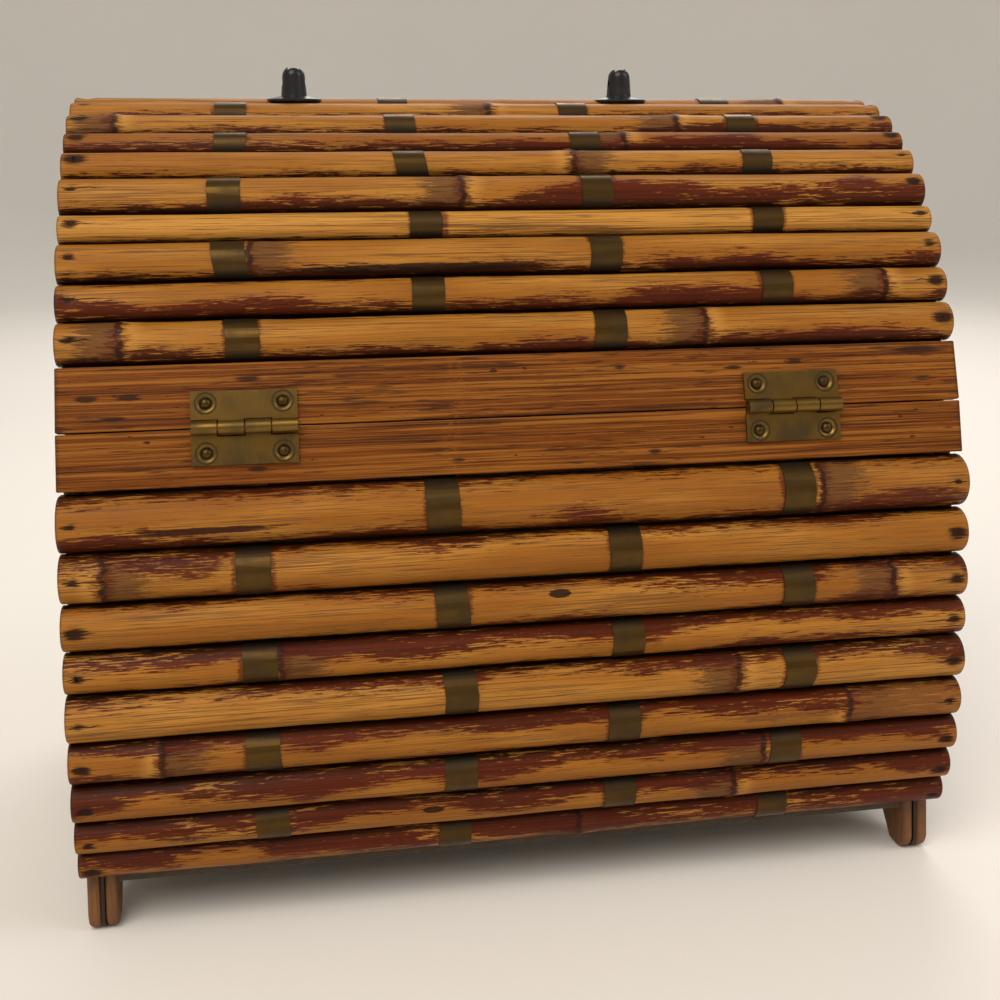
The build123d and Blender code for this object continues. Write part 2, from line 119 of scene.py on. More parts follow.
# Old lacquer left on each cane of the back, from 0 to 1: on its upper side at the +X and the -X end,
# on its lower side at the +X and the -X end, and then the straw tint
LACQUER = {
    "lid_cane_crest": (0.06, 0.10, 0.14, 0.18, 0.55),
    "lid_cane_back_1": (0.05, 0.06, 0.18, 0.24, 0.62),
    "lid_cane_back_2": (0.10, 0.06, 0.20, 0.40, 0.62),
    "lid_cane_back_3": (0.26, 0.16, 0.50, 0.56, 0.22),
    "lid_cane_back_4": (0.06, 0.14, 0.18, 0.34, 0.62),
    "lid_cane_back_5": (0.06, 0.06, 0.26, 0.86, 0.60),
    "lid_cane_back_6": (0.02, 0.02, 0.12, 0.06, 1.05),
    "lid_cane_back_7": (0.06, 0.08, 0.34, 0.44, 0.60),
    "lid_cane_back_8": (0.24, 0.14, 0.66, 0.52, 0.55),
    "lid_cane_back_9": (0.14, 0.08, 0.36, 0.48, 0.62),
    "body_cane_back_1": (0.26, 0.24, 0.54, 0.34, 0.48),
    "body_cane_back_2": (0.42, 0.26, 0.26, 0.20, 0.55),
    "body_cane_back_3": (0.16, 0.58, 0.16, 0.44, 0.50),
    "body_cane_back_4": (0.50, 0.54, 0.22, 0.48, 0.60),
    "body_cane_back_5": (0.26, 0.46, 0.14, 0.26, 0.64),
    "body_cane_back_6": (0.36, 0.56, 0.40, 0.26, 0.50),
    "body_cane_back_7": (0.66, 0.36, 0.26, 0.30, 0.52),
    "body_cane_back_8": (0.52, 0.48, 0.16, 0.20, 0.48),
    "body_cane_back_9": (0.70, 0.74, 0.56, 0.60, 0.45),
}

# Single marks on canes of the back: place along X, place round the cane with its lower side positive,
# half length and half width in millimetres, and tone: -1 sanded bare, 0.5 brown, 0.75 oxblood, 1 black
SPOTS = {
    "lid_cane_back_7": ((27.0, 4.6, 33.0, 1.3, 1.0),),
    "lid_cane_back_8": ((-106.0, 0.0, 8.0, 6.0, -1.0),),
    "body_cane_back_1": ((79.0, 2.6, 19.0, 1.0, 0.9), (-99.0, 4.2, 16.0, 3.6, 0.75)),
    "body_cane_back_2": ((86.0, -2.6, 9.0, 3.2, 0.72),),
    "body_cane_back_3": ((-5.0, -2.8, 2.9, 1.2, 1.0), (-105.0, 0.0, 9.0, 5.0, -1.0)),
    "body_cane_back_6": ((-100.0, -1.0, 16.5, 6.0, 0.5), (-66.0, 0.6, 15.0, 1.0, 0.5)),
    "body_cane_back_8": ((27.0, -2.0, 3.0, 0.9, 1.0),),
    "body_cane_back_9": ((80.0, 0.5, 12.0, 4.4, -1.0),),
}

# Dark stains and tack holes on the slats: place along X, place across with the lower side positive,
# half length and half width in millimetres
STAINS = {
    "lid_slat_back": ((70.0, -3.5, 3.0, 0.8), (-23.0, -3.5, 2.0, 0.7), (-70.0, -3.5, 2.6, 0.8),
                      (108.0, 0.0, 2.4, 0.8), (98.0, 0.0, 2.8, 0.8), (102.0, 5.0, 3.0, 0.7),
                      (-53.0, -2.6, 2.4, 0.6), (-105.0, 2.0, 2.6, 0.7), (-104.0, -5.6, 9.0, 1.1)),
    "body_slat_back": ((68.0, 3.1, 2.4, 0.8), (19.5, 3.1, 2.0, 0.7), (-31.0, 3.1, 2.0, 0.8),
                       (94.0, -4.2, 0.8, 0.5), (83.0, -1.2, 0.9, 0.6), (94.0, 1.8, 0.8, 0.5),
                       (-98.0, -3.0, 0.8, 0.5), (-96.0, 0.4, 0.7, 0.5), (-101.0, 2.3, 0.8, 0.5)),
    "lid_slat_front": ((24.0, -3.5, 2.2, 0.7), (-69.0, -3.5, 2.6, 0.8), (101.0, 1.0, 2.6, 0.7)),
    "body_slat_front": ((70.0, 3.1, 2.2, 0.8), (-21.0, 3.1, 2.0, 0.7), (-92.0, -2.0, 0.8, 0.5)),
}

# Middles of the woven ribbons along X in millimetres, from the crest or the seam down
LID_WEAVE = (
    (73, 73, 75, 74, 71),
    (28, 28, 27, 24, 25),
    (-22, -22, -22, -22, -21),
    (-67, -69, -69, -68, -67),
)
BODY_WEAVE = (
    (70, 69, 69, 67),
    (24, 22, 20, 20, 21),
    (-22, -23, -22, -22),
    (-68, -68, -69, -66, -65),
)

# Straight lines of the ribbons along X in millimetres, and the first row that each ribbon passes over
LID_PLACES = (73.0, 26.0, -22.0, -68.0)
BODY_PLACES = (69.0, 21.0, -22.5, -67.0)
LID_FIRST = (1, 0, 1, 0)
BODY_FIRST = (2, 1, 2, 1)


def colour_setting(name, description, default):
    """A colour that a user may change."""
    return FloatVectorProperty(name=name, description=description, subtype="COLOR",
                               size=3, min=0, max=1, default=default)


def length_setting(name, description, millimetres):
    """A length that a user may change."""
    return FloatProperty(name=name, description=description, unit="LENGTH", default=millimetres * MM)


class CaneSettings(bpy.types.PropertyGroup):
    """Sizes and colours of the split canes."""
    straw: colour_setting("Straw", "Palest sanded cane", (0.52, 0.245, 0.044))
    honey: colour_setting("Honey", "Main tone of the sanded cane", (0.385, 0.153, 0.016))
    amber: colour_setting("Amber", "Deep tone of the sanded cane", (0.232, 0.073, 0.007))
    oxblood: colour_setting("Oxblood", "Old lacquer that is left", (0.088, 0.009, 0.0010))
    # Pitch is the dark of the rings, stains, sheath and old lacquer, and also the painted shade in the
    # grooves between canes.
    pitch: colour_setting("Pitch", "Dirt in the grooves and rings", (0.013, 0.0035, 0.0012))
    scar: colour_setting("Scar", "Sheath scars beside the joints", (0.120, 0.052, 0.017))
    sheath: colour_setting("Sheath", "Brown sheath left at a joint", (0.118, 0.052, 0.016))
    pith: colour_setting("Pith", "Split inner side of the cane", (0.52, 0.34, 0.16))
    widen: length_setting("Widen", "How much wider than the solids each side is", 0.10)
    end_round: length_setting("End rounding", "Rounding of the sawn ends", 0.55)
    ring_swell: length_setting("Ring swell", "Height of the ridge at a joint", 0.36)
    nail_dimple: length_setting("Nail dimple", "Depth of the dent round a nail", 0.42)
    sway: length_setting("Sway", "Side to side wander of a cane", 0.14)
    facets: IntProperty(name="Facets", description="Facets round a half-round cane", default=20, min=8)
    rings: IntProperty(name="Rings", description="Cuts along a cane", default=229, min=20)


class SlatSettings(bpy.types.PropertyGroup):
    """Colours and edges of the flat slats at the seam."""
    russet: colour_setting("Russet", "Main tone of the slats", (0.150, 0.038, 0.003))
    fibre: colour_setting("Fibre", "Pale fibre lines", (0.30, 0.112, 0.014))
    soot: colour_setting("Soot", "Dark dashes and specks", (0.024, 0.008, 0.003))
    edge: length_setting("Edge", "Rounding of the slat's edges", 0.35)
    seam_fill: length_setting("Seam fill", "How far each slat reaches into the seam's gap", 0.09)


class TimberSettings(bpy.types.PropertyGroup):
    """Colours and plies of the end panels and the bottom board."""
    face: colour_setting("Face ply", "Light plies of the panels", (0.205, 0.084, 0.024))
    core: colour_setting("Core ply", "Dark ply and glue between them", (0.034, 0.014, 0.006))
    board: colour_setting("Board", "Bottom board", (0.085, 0.055, 0.030))
    outer_ply: length_setting("Outer ply", "Thickness of the outer ply", 3.4)
    core_ply: length_setting("Core", "Thickness of the dark core", 0.9)
    edge: length_setting("Edge", "Rounding of the plies' edges", 1.2)


class BrassSettings(bpy.types.PropertyGroup):
    """Colours of the ribbons, hinges, screws, catch and nails, and the rounding of brass edges."""
    ribbon: colour_setting("Ribbon", "Dull brass of the ribbons", (0.088, 0.047, 0.0095))
    hinge: colour_setting("Hinge", "Brass of the hinges", (0.175, 0.100, 0.020))
    catch: colour_setting("Catch", "Handled brass of the catch", (0.30, 0.190, 0.055))
    # Tarnish is the dark of tarnish, soiling and rust, and also the painted shade in slots, recesses,
    # grooves and round screws.
    tarnish_and_shade: colour_setting("Tarnish", "Dark tarnish and dirt", (0.020, 0.012, 0.004))
    iron: colour_setting("Iron", "Dark nails", (0.008, 0.005, 0.004))
    edge: length_setting("Edge", "Rounding of the hinges' edges, of which the hook has more", 0.20)


class HandleSettings(bpy.types.PropertyGroup):
    """Colours and edges of the handle and its posts."""
    black: colour_setting("Black", "Black lacquer of the posts and the bail", (0.011, 0.011, 0.012))
    rubbed: colour_setting("Rubbed", "Worn black lacquer", (0.034, 0.032, 0.030))
    edge: length_setting("Edge", "Rounding of the bail's edges, of which the posts have half", 0.6)


class StageSettings(bpy.types.PropertyGroup):
    """Floor and camera."""
    floor: colour_setting("Floor", "Pale floor and backdrop", (0.88, 0.85, 0.80))
    camera_place: FloatVectorProperty(name="Camera", description="Place of the camera", subtype="XYZ",
                                      unit="LENGTH", size=3, default=(0.06539, 0.38806, 0.19700))
    camera_turn: FloatVectorProperty(name="Camera turn", description="Turn of the camera", subtype="EULER",
                                     size=3, default=(1.41841, 0.00343, 2.96592))
    lens: FloatProperty(name="Lens", description="Focal length in millimetres", default=48.12)
    drop: FloatProperty(name="Drop", description="Vertical shift of the picture", default=-0.15)


class Value:
    """A socket of a shader tree, so that maths on it is written as a Python expression."""

    def __init__(self, finish, socket):
        self.finish = finish
        self.socket = socket

    def maths(self, operation, *others):
        values = {place + 1: other for place, other in enumerate(others)}
        return self.finish.node("ShaderNodeMath", {"operation": operation}, {0: self, **values})

    def turned_maths(self, operation, other):
        return self.finish.node("ShaderNodeMath", {"operation": operation}, {0: other, 1: self})

    def __add__(self, other):
        return self.maths("ADD", other)

    def __sub__(self, other):
        return self.maths("SUBTRACT", other)

    def __mul__(self, other):
        return self.maths("MULTIPLY", other)

    def __truediv__(self, other):
        return self.maths("DIVIDE", other)

    def __pow__(self, other):
        return self.maths("POWER", other)

    def __neg__(self):
        return self.maths("MULTIPLY", -1.0)

    def __abs__(self):
        return self.maths("ABSOLUTE")

    __radd__ = __add__
    __rmul__ = __mul__

    def __rsub__(self, other):
        return self.turned_maths("SUBTRACT", other)

    def __rtruediv__(self, other):
        return self.turned_maths("DIVIDE", other)

    def most(self, other):
        return self.maths("MAXIMUM", other)

    def least(self, other):
        return self.maths("MINIMUM", other)

    def stretch(self, scale):
        """A vector multiplied by three numbers."""
        return self.finish.node("ShaderNodeVectorMath", {"operation": "MULTIPLY"}, {0: self, 1: scale})

    def step(self, low, high):
        """0 below low, 1 above high, and eased between them; low may be the greater."""
        return self.finish.node("ShaderNodeMapRange", {"interpolation_type": "SMOOTHSTEP"},
                                {"Value": self, "From Min": low, "From Max": high})


class Finish:
    """One material, whose nodes are all made by the node method."""

    def __init__(self, name):
        self.material = bpy.data.materials.new(name)
        self.material.use_nodes = True
        self.tree = self.material.node_tree
        self.tree.nodes.clear()

    def node(self, kind, settings=None, inputs=None, out=0):
        made = self.tree.nodes.new(kind)
        for key, value in (settings or {}).items():
            setattr(made, key, value)
        for key, value in (inputs or {}).items():
            socket = made.inputs[key]
            if isinstance(value, Value):
                self.tree.links.new(value.socket, socket)
            elif socket.type == "RGBA":
                socket.default_value = (*value, 1.0)
            else:
                socket.default_value = value
        return Value(self, made.outputs[out]) if made.outputs else made

    def place(self):
        """Object coordinates in millimetres."""
        spot = self.node("ShaderNodeTexCoord", out=3)
        return spot.stretch((1 / MM, 1 / MM, 1 / MM))

    def own(self, name):
        """A vector that the mesh carries at its points."""
        return self.node("ShaderNodeAttribute", {"attribute_name": name}, out=1)

    def own_number(self, name):
        """A number that the mesh carries at its points."""
        return self.node("ShaderNodeAttribute", {"attribute_name": name}, out=2)

    def parts(self, vector):
        split = self.node("ShaderNodeSeparateXYZ", None, {0: vector})
        sockets = split.socket.node.outputs
        return [Value(self, socket) for socket in sockets]

    def cloud(self, vector, scale=1.0, detail=2.0, rough=0.5, warp=0.0):
        return self.node("ShaderNodeTexNoise", None, {
            "Vector": vector, "Scale": scale, "Detail": detail, "Roughness": rough, "Distortion": warp,
        })

    def mix(self, factor, first, second):
        return self.node("ShaderNodeMix", {"data_type": "RGBA"}, {0: factor, 6: first, 7: second}, out=2)

    def over(self, colour, *coats):
        """A colour under coats, each of which is an amount and a tone."""
        for amount, tone in coats:
            colour = self.mix(amount, colour, tone)
        return colour

    def bump(self, height, distance, strength=1.0):
        return self.node("ShaderNodeBump", None, {
            "Height": height, "Distance": distance, "Strength": strength,
        })

    def close(self, colour, roughness, normal=None, metallic=0.0, **constants):
        inputs = {"Base Color": colour, "Roughness": roughness, "Metallic": metallic}
        if normal is not None:
            inputs["Normal"] = normal
        inputs.update({key.replace("_", " "): value for key, value in constants.items()})
        shader = self.node("ShaderNodeBsdfPrincipled", None, inputs)
        self.node("ShaderNodeOutputMaterial", None, {"Surface": shader})
        return self.material


def cane_finish(look):
    """Varnished cane: fibres, ragged lacquer, joint rings, scars, nail stains and painted shade in the
    grooves.
    """
    f = Finish("cane_varnish")
    grain = f.own("grain")
    along, around, _ = f.parts(grain)
    scar_gap, band, turn = f.parts(f.own("marks"))
    upper, lower, tint = f.parts(f.own("lacquer"))
    pale_gap = f.own_number("pale_gap")
    gap = scar_gap.least(pale_gap)

    fibre = f.cloud(grain.stretch((0.030, 5.2, 3.1)), rough=0.6)
    vein = f.cloud(grain.stretch((0.018, 1.5, 5.7)), rough=0.6)
    dash = f.cloud(grain.stretch((0.075, 3.0, 8.7)), rough=0.6)
    slow = f.cloud(grain.stretch((0.022, 0.16, 9.3)), detail=1.0)
    fray = f.cloud(grain.stretch((0.13, 2.1, 1.7)), detail=4.0, rough=0.72)
    drift = f.cloud(grain.stretch((0.024, 0.04, 12.1)))
    bristle = f.cloud(grain.stretch((0.22, 3.4, 7.9)), detail=1.0, rough=0.6)
    fleck = f.cloud(grain.stretch((0.14, 1.7, 4.3)), detail=3.0, rough=0.7)
    hair = f.cloud(grain.stretch((0.024, 3.7, 2.6)), detail=1.0)

    tone = (tint + (slow - 0.5) * 1.1 + (vein - 0.5) * 0.5).step(-0.05, 0.95)
    colour = f.over(
        f.mix(tone, look.amber, look.honey),
        ((tint + (slow - 0.5) * 1.2).step(0.45, 1.20), look.straw),
        (vein.step(0.52, 0.70) * 0.65, look.amber),
        (fibre.step(0.42, 0.24) * 0.40, look.straw),
        (fibre.step(0.54, 0.74) * 0.60, look.scar),
        ((hair + (slow - 0.5) * 0.25).step(0.59, 0.67) * 0.75, look.scar),
        ((dash + (slow - 0.5) * 0.2).step(0.57, 0.67) * 0.72, look.scar),
    )

    near = gap.step(16.0, 13.0)
    wobble = (f.cloud(grain.stretch((0.05, 0.60, 2.3)), detail=3.0) - 0.5) * 3.4
    wavy = (pale_gap - scar_gap) * 0.2 + wobble
    pale = wavy.step(-0.5, -1.2) * (pale_gap + wobble).step(7.0, 2.0)
    scarred = wavy.step(0.0, 0.5) * (scar_gap + (fray - 0.5) * 34.0).step(10.6, 9.8) * near
    ring = abs(wavy).step(1.1, 0.3) * near
    sheath = f.mix(fibre.step(0.42, 0.70) * 0.45, look.sheath, look.amber)
    sheath = f.mix(dash.step(0.50, 0.62) * 0.55, sheath, look.pitch)
    colour = f.mix(pale * 0.60, colour, look.straw)
    colour = f.mix(scarred * 0.90, colour, sheath)

    torn = (fray - 0.5) * 1.75
    reach_low = lower * (drift * 4.0 - 0.75)
    reach_high = upper * (3.50 - drift * 4.0)
    low_side = (turn + torn - 0.98 + reach_low).step(-0.04, 0.04)
    high_side = (torn - turn - 0.98 + reach_high).step(-0.04, 0.04)
    fringe = (band + (bristle - 0.5) * 2.6 - (drift - 0.5) * 7.0).step(0.7, 0.1)
    collar = (gap + (bristle - 0.5) * 9.0 - (slow - 0.5) * 4.0).step(2.2, 1.2) * 0.8
    spot_long, spot_wide, kind = f.parts(f.own("spot"))
    ragged = (4.6 - kind * 3.6).least(3.4)
    spotted = ((spot_long ** 2.0 + spot_wide ** 2.0) ** 0.5 + (fray - 0.5) * ragged).step(1.05, 0.88)
    bare = spotted * kind.step(-0.3, -0.7)
    marked = spotted * kind.step(0.2, 0.4) * (1.0 - fleck.step(0.52, 0.60) * kind.step(0.9, 0.7) * 0.85)
    edge_lacquer = low_side.most(high_side) * (1.0 - bare)
    left = edge_lacquer.most(fringe * 0.75).most(collar)
    left = left * (1.0 - (fleck + (slow - 0.5) * 0.45).step(0.60, 0.66) * 0.85)
    # The old lacquer is darker in the veins and towards the cane's sides.
    deep = (vein.step(0.40, 0.62) * 0.5 + abs(turn).step(0.35, 0.95) * 0.6).least(1.0)
    old_lacquer = f.mix(deep, look.oxblood, look.pitch)
    colour = f.mix((edge_lacquer - left).most(0.0) * 0.45, colour, look.straw)
    colour = f.mix(left * 0.96, colour, old_lacquer)
    mark = f.mix(kind.step(0.50, 0.72), f.mix(fibre.step(0.3, 0.7), look.scar, look.amber), old_lacquer)
    colour = f.mix(marked * 0.92, colour, f.mix(kind.step(0.78, 0.98), mark, look.pitch))

    colour = f.mix(ring * 0.85 * bristle.step(0.30, 0.46), colour, look.pitch)
    tip = HALF_LENGTH - abs(along)
    nail_gap = (((tip - NAIL_INSET) * 0.62) ** 2.0 + around ** 2.0) ** 0.5
    size = f.cloud(grain.stretch((0.012, 0.0, 7.7)), detail=0.0)
    stain = (nail_gap + (fray - 0.5) * 3.4 + (dash - 0.5) * 2.0).step(size * 4.2 - 0.6, size * 2.0 - 0.3)
    crack = abs(around + (f.cloud(grain.stretch((0.3, 0.0, 6.1)), detail=1.0) - 0.5) * 1.2).step(0.22, 0.08)
    crack = crack * tip.step(0.6, 1.4) * (tip - (slow - 0.36) * 34.0).step(1.5, -1.5)
    sooty = stain.most(crack)
    colour = f.mix(sooty * 0.95, colour, look.pitch)
    # Painted shade: darker towards each side of the cane, in the grooves between canes, and darker near the
    # sawn ends.
    groove_shade_and_dark_ends = (abs(turn) + (fray - 0.5) * 0.45).step(0.66, 0.98).most(tip.step(0.8, 0.0) * 0.5)
    colour = f.mix(groove_shade_and_dark_ends * 0.90, colour, look.pitch)

    roughness = 0.44 - left * 0.06 + scarred * 0.16 + (fibre - 0.5) * 0.22 + sooty * 0.3
    return f.close(colour, roughness, f.bump(fibre + fray * 0.8, 0.14 * MM, 0.7), Specular_IOR_Level=0.14)


def pith_finish(look):
    """Split inner side of a cane: pale coarse fibres with darker pores."""
    f = Finish("cane_pith")
    grain = f.own("grain")
    coarse = f.cloud(f.place().stretch((0.03, 1.9, 1.9)), detail=4.0, rough=0.65)
    broad = f.cloud(f.place().stretch((0.02, 0.20, 0.20)))
    pore = f.cloud(grain.stretch((0.12, 2.6, 3.3)))
    colour = f.mix(coarse.step(0.35, 0.70), look.pith, look.honey)
    colour = f.mix(broad.step(0.45, 0.75) * 0.5, colour, look.amber)
    colour = f.mix(pore.step(0.64, 0.74) * 0.5, colour, look.scar)
    return f.close(colour, 0.62 + (coarse - 0.5) * 0.2, f.bump(coarse, 0.25 * MM, 0.8))


def end_grain_finish(look):
    """Sawn end of a cane: dots of fibre bundles, with dark blots."""
    f = Finish("cane_end_grain")
    spot = f.place()
    dots = f.node("ShaderNodeTexVoronoi", None, {"Vector": spot, "Scale": 1.6})
    blot = f.cloud(spot, 0.35, 3.0)
    colour = f.mix(dots.step(0.15, 0.42), look.scar, look.honey)
    colour = f.mix(blot.step(0.42, 0.68) * 0.8, colour, look.pitch)
    return f.close(colour, 0.68 + (blot - 0.5) * 0.2, f.bump(dots, 0.15 * MM, 0.7))


def slat_finish(look):
    """Flat bamboo strip: parallel fibre lines, dark dashes and a faint joint line."""
    f = Finish("slat_strip")
    grain = f.own("grain")
    along, _, _ = f.parts(grain)
    joint, _, red = f.parts(f.own("marks"))
    line = f.cloud(grain.stretch((0.009, 1.1, 3.7)), detail=3.0, rough=0.62, warp=0.3)
    hair = f.cloud(grain.stretch((0.028, 3.4, 6.1)), rough=0.6)
    dash = f.cloud(grain.stretch((0.10, 1.5, 8.3)), rough=0.6)
    speck = f.cloud(grain.stretch((0.26, 0.85, 2.9)))
    broad = f.cloud(grain.stretch((0.02, 0.10, 5.1)))
    colour = f.over(
        look.russet,
        (line.step(0.50, 0.60) * 0.80, look.fibre),
        (line.step(0.46, 0.37) * 0.70, look.soot),
        (hair.step(0.53, 0.64) * 0.60, look.fibre),
        (hair.step(0.45, 0.34) * 0.60, look.soot),
        (broad.step(0.45, 0.72) * (0.15 + red * 0.35), look.russet),
    )
    dark = (dash + (broad - 0.5) * 0.5 - red * 0.06).step(0.555, 0.66) * 0.66
    tack_long, tack_wide, _ = f.parts(f.own("spot"))
    tack = (tack_long ** 2.0 + tack_wide ** 2.0) ** 0.5 + (dash - 0.5) * 1.6
    spots = speck.step(0.705, 0.76).most(tack.step(1.3, 0.6))
    colour = f.mix(dark.most(spots * 0.9), colour, look.soot)
    scratch = f.cloud(grain.stretch((0.8, 2.4, 4.7)))
    seam = abs(joint).step(3.4, 0.8) * scratch.step(0.45, 0.66)
    colour = f.mix(seam * 0.32, colour, look.fibre)
    tip = HALF_LENGTH - abs(along)
    colour = f.mix((tip + (hair - 0.5) * 2.0).step(1.3, 0.2) * 0.5, colour, look.soot)
    height = line * 0.7 + hair * 0.35 - dark.most(spots) * 0.5
    return f.close(colour, 0.55 + (hair - 0.5) * 0.25, f.bump(height, 0.20 * MM, 0.7),
                   Specular_IOR_Level=0.12)


def ply_finish(name, tone, shade, turn):
    """Bare plywood: long grain that runs up the panel or across it, with pores and handling marks."""
    f = Finish(name)
    spot = f.place()
    scale = (1.6, 1.5, 0.035) if turn else (1.6, 0.035, 1.5)
    long_grain = f.cloud(spot.stretch(scale), detail=4.0, rough=0.62, warp=0.25)
    wide = f.cloud(spot.stretch(tuple(0.2 * value for value in scale)))
    pore = f.cloud(spot.stretch(tuple(2.6 * value for value in scale)))
    worn = f.cloud(spot, 0.09, 3.0, 0.6)
    figure = f.node("ShaderNodeTexWave", {"wave_type": "BANDS", "bands_direction": "Y" if turn else "Z"}, {
        "Vector": spot.stretch((0.02, 0.030, 0.004) if turn else (0.02, 0.004, 0.030)),
        "Distortion": 5.0, "Detail": 3.0, "Detail Scale": 0.7,
    }, out=1)
    pitted = pore.step(0.60, 0.74)
    colour = f.over(
        tone,
        (figure.step(0.35, 0.95) * 0.45, shade),
        (long_grain.step(0.36, 0.70) * 0.6, shade),
        (wide.step(0.42, 0.70) * 0.35, shade),
        (pitted * 0.5, shade),
        (worn.step(0.50, 0.72) * 0.35, shade),
    )
    height = long_grain * 0.6 - pitted * 0.6
    return f.close(colour, 0.60 + (worn - 0.5) * 0.25, f.bump(height, 0.18 * MM, 0.7),
                   Specular_IOR_Level=0.35)


def brass_finish(name, tone, look, age, edged=False, screws=(), dents=0.4):
    """Aged brass: rolled lines, cloudy tarnish, darker rims, painted shade where a ribbon dips between
    canes, in slots and under turned heads, and soiling with painted shade round screws.
    """
    f = Finish(name)
    spot = f.place()
    rolled = f.cloud(spot.stretch((0.9, 0.10, 0.10)), 2.4, 3.0, 0.6)
    patchy = f.cloud(spot, 0.12)
    pits = f.cloud(spot, 1.5)
    dull_and_shaded = (patchy + (rolled - 0.5) * 0.20).step(0.34, 0.70) * age
    if edged:
        edge, slot, sunk = f.parts(f.own("rim"))
        # Darker along a ribbon's rims. On turned heads the same value paints shade at the rim and in the
        # recess.
        dirt_and_shade = (abs(edge) + (patchy - 0.5) * 0.35 + (pits - 0.5) * 0.25).step(0.88, 1.05) * 0.8
        # Painted shade where a ribbon turns down round a cane into the groove between canes.
        dirt_and_shade = dirt_and_shade.most((sunk + (patchy - 0.5) * 0.3).step(0.25, 0.75))
        # A slotted head has no cut: a dark line along its slot is painted shade.
        dull_and_shaded = dull_and_shaded.most(dirt_and_shade).most(abs(slot).step(0.36, 0.26))
    for seat, _ in screws:
        gap = f.node("ShaderNodeVectorMath", {"operation": "DISTANCE"}, {0: spot, 1: seat / MM}, out=1)
        # Painted shade and soiling round each screw: a dark ring about 2.5 mm from its axis, and darker
        # under its head.
        screw_grime_and_shade = abs(gap - 2.5 + (pits - 0.5) * 0.5).step(0.50, 0.10).most(gap.step(1.75, 1.45))
        dull_and_shaded = dull_and_shaded.most(screw_grime_and_shade * 0.85)
    dull_and_shaded = dull_and_shaded.most(pits.step(0.68, 0.76) * (0.7 * age))
    colour = f.mix(dull_and_shaded, tone, look.tarnish_and_shade)
    roughness = 0.32 + dull_and_shaded * 0.26 + (rolled - 0.5) * 0.14
    height = rolled * 0.25 + patchy * 1.2
    return f.close(colour, roughness, f.bump(height, 0.12 * MM, dents), 0.90 - dull_and_shaded * 0.30)


def black_finish(look):
    """Semi-gloss black lacquer, rubbed grey in places."""
    f = Finish("handle_lacquer")
    spot = f.place()
    rub = f.cloud(spot, 0.35, 4.0, 0.65)
    fine = f.cloud(spot, 2.2)
    worn = (rub + (fine - 0.5) * 0.2).step(0.54, 0.76)
    colour = f.mix(worn * 0.6, look.black, look.rubbed)
    return f.close(colour, 0.30 + worn * 0.20 + (fine - 0.5) * 0.08, f.bump(rub, 0.10 * MM, 0.35),
                   Specular_IOR_Level=0.30)


def iron_finish(look):
    """Dark nail heads with a little rust."""
    f = Finish("nail_iron")
    spot = f.place()
    rust = f.cloud(spot, 1.1, 3.0, 0.6)
    colour = f.mix(rust.step(0.45, 0.70), look.iron, look.tarnish_and_shade)
    return f.close(colour, 0.56 + (rust - 0.5) * 0.4, f.bump(rust, 0.10 * MM, 0.6),
                   0.7 - rust.step(0.45, 0.70) * 0.4, Specular_IOR_Level=0.15)


def dimmed(tone, share):
    """A tone with a share of its light."""
    return tuple(share * value for value in tone)


def halfway(values):
    """The middle between the least and the greatest value."""
    return (min(values) + max(values)) / 2


def run_along(edge):
    """How far an edge runs along X."""
    return abs(edge.verts[0].co.x - edge.verts[1].co.x)


def points_in(geometry):
    """The points among the parts of a shape that was drawn out."""
    return [item for item in geometry if isinstance(item, bmesh.types.BMVert)]


def round_edges(bm, edges, width, segments=3):
    """Rounds edges of a mesh."""
    bmesh.ops.bevel(bm, geom=edges, offset=width, offset_type="OFFSET", segments=segments, profile=0.5,
                    affect="EDGES", material=-1, clamp_overlap=False)


def solid_mesh(name):
    """An editable copy of a solid's mesh, with its doubled points merged."""
    bm = bmesh.new()
    bm.from_mesh(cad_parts[name].data)
    bmesh.ops.remove_doubles(bm, verts=bm.verts, dist=TINY)
    return bm


class Lay:
    """How a cane or slat lies: its middle, outward side, downhill side, half width, depth and length."""

    def __init__(self, name):
        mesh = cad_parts[name].data
        sides = {}
        for face in mesh.polygons:
            if abs(face.normal.x) < 0.5:
                key = (round(face.normal.y, 2), round(face.normal.z, 2))
                sides[key] = sides.get(key, Vector()) + face.normal * face.area
        flat = max(sides.values(), key=lambda side: side.length).normalized()
        spots = [vertex.co for vertex in mesh.vertices]
        middle = sum(spots, Vector()) / len(spots)
        self.out = flat if flat.dot(middle - INSIDE) > 0 else -flat
        self.down = Vector((0.0, self.out.z, -self.out.y))
        if self.down.z > TINY:
            self.down = -self.down
        heights = [spot.dot(self.out) for spot in spots]
        widths = [spot.dot(self.down) for spot in spots]
        ends = [spot.x for spot in spots]
        self.base = min(heights)
        self.depth = max(heights) - self.base
        self.half = (max(widths) - min(widths)) / 2
        self.middle = halfway(widths)
        self.length = max(ends) - min(ends)

    def sunk(self, spot):
        """How far a spot is off the cane's middle, and how far round: 0 on its crown, 1 at its side.

        A spot on the cane's inner side counts as a little way round.
        """
        inner_height = 0.1 * MM
        inner_turn = 0.3
        across = spot.dot(self.down) - self.middle
        height = spot.dot(self.out) - self.base
        up = height - self.depth + self.half
        turn = abs(math.atan2(across, max(up, 0.0))) / (math.pi / 2)
        return math.hypot(across, up), turn if height > inner_height else inner_turn

    def seat(self):
        """Turns x, across and up into the box's frame."""
        turn = Matrix((Vector((1, 0, 0)), self.down, self.out)).transposed().to_4x4()
        return Matrix.Translation(self.out * self.base + self.down * self.middle) @ turn


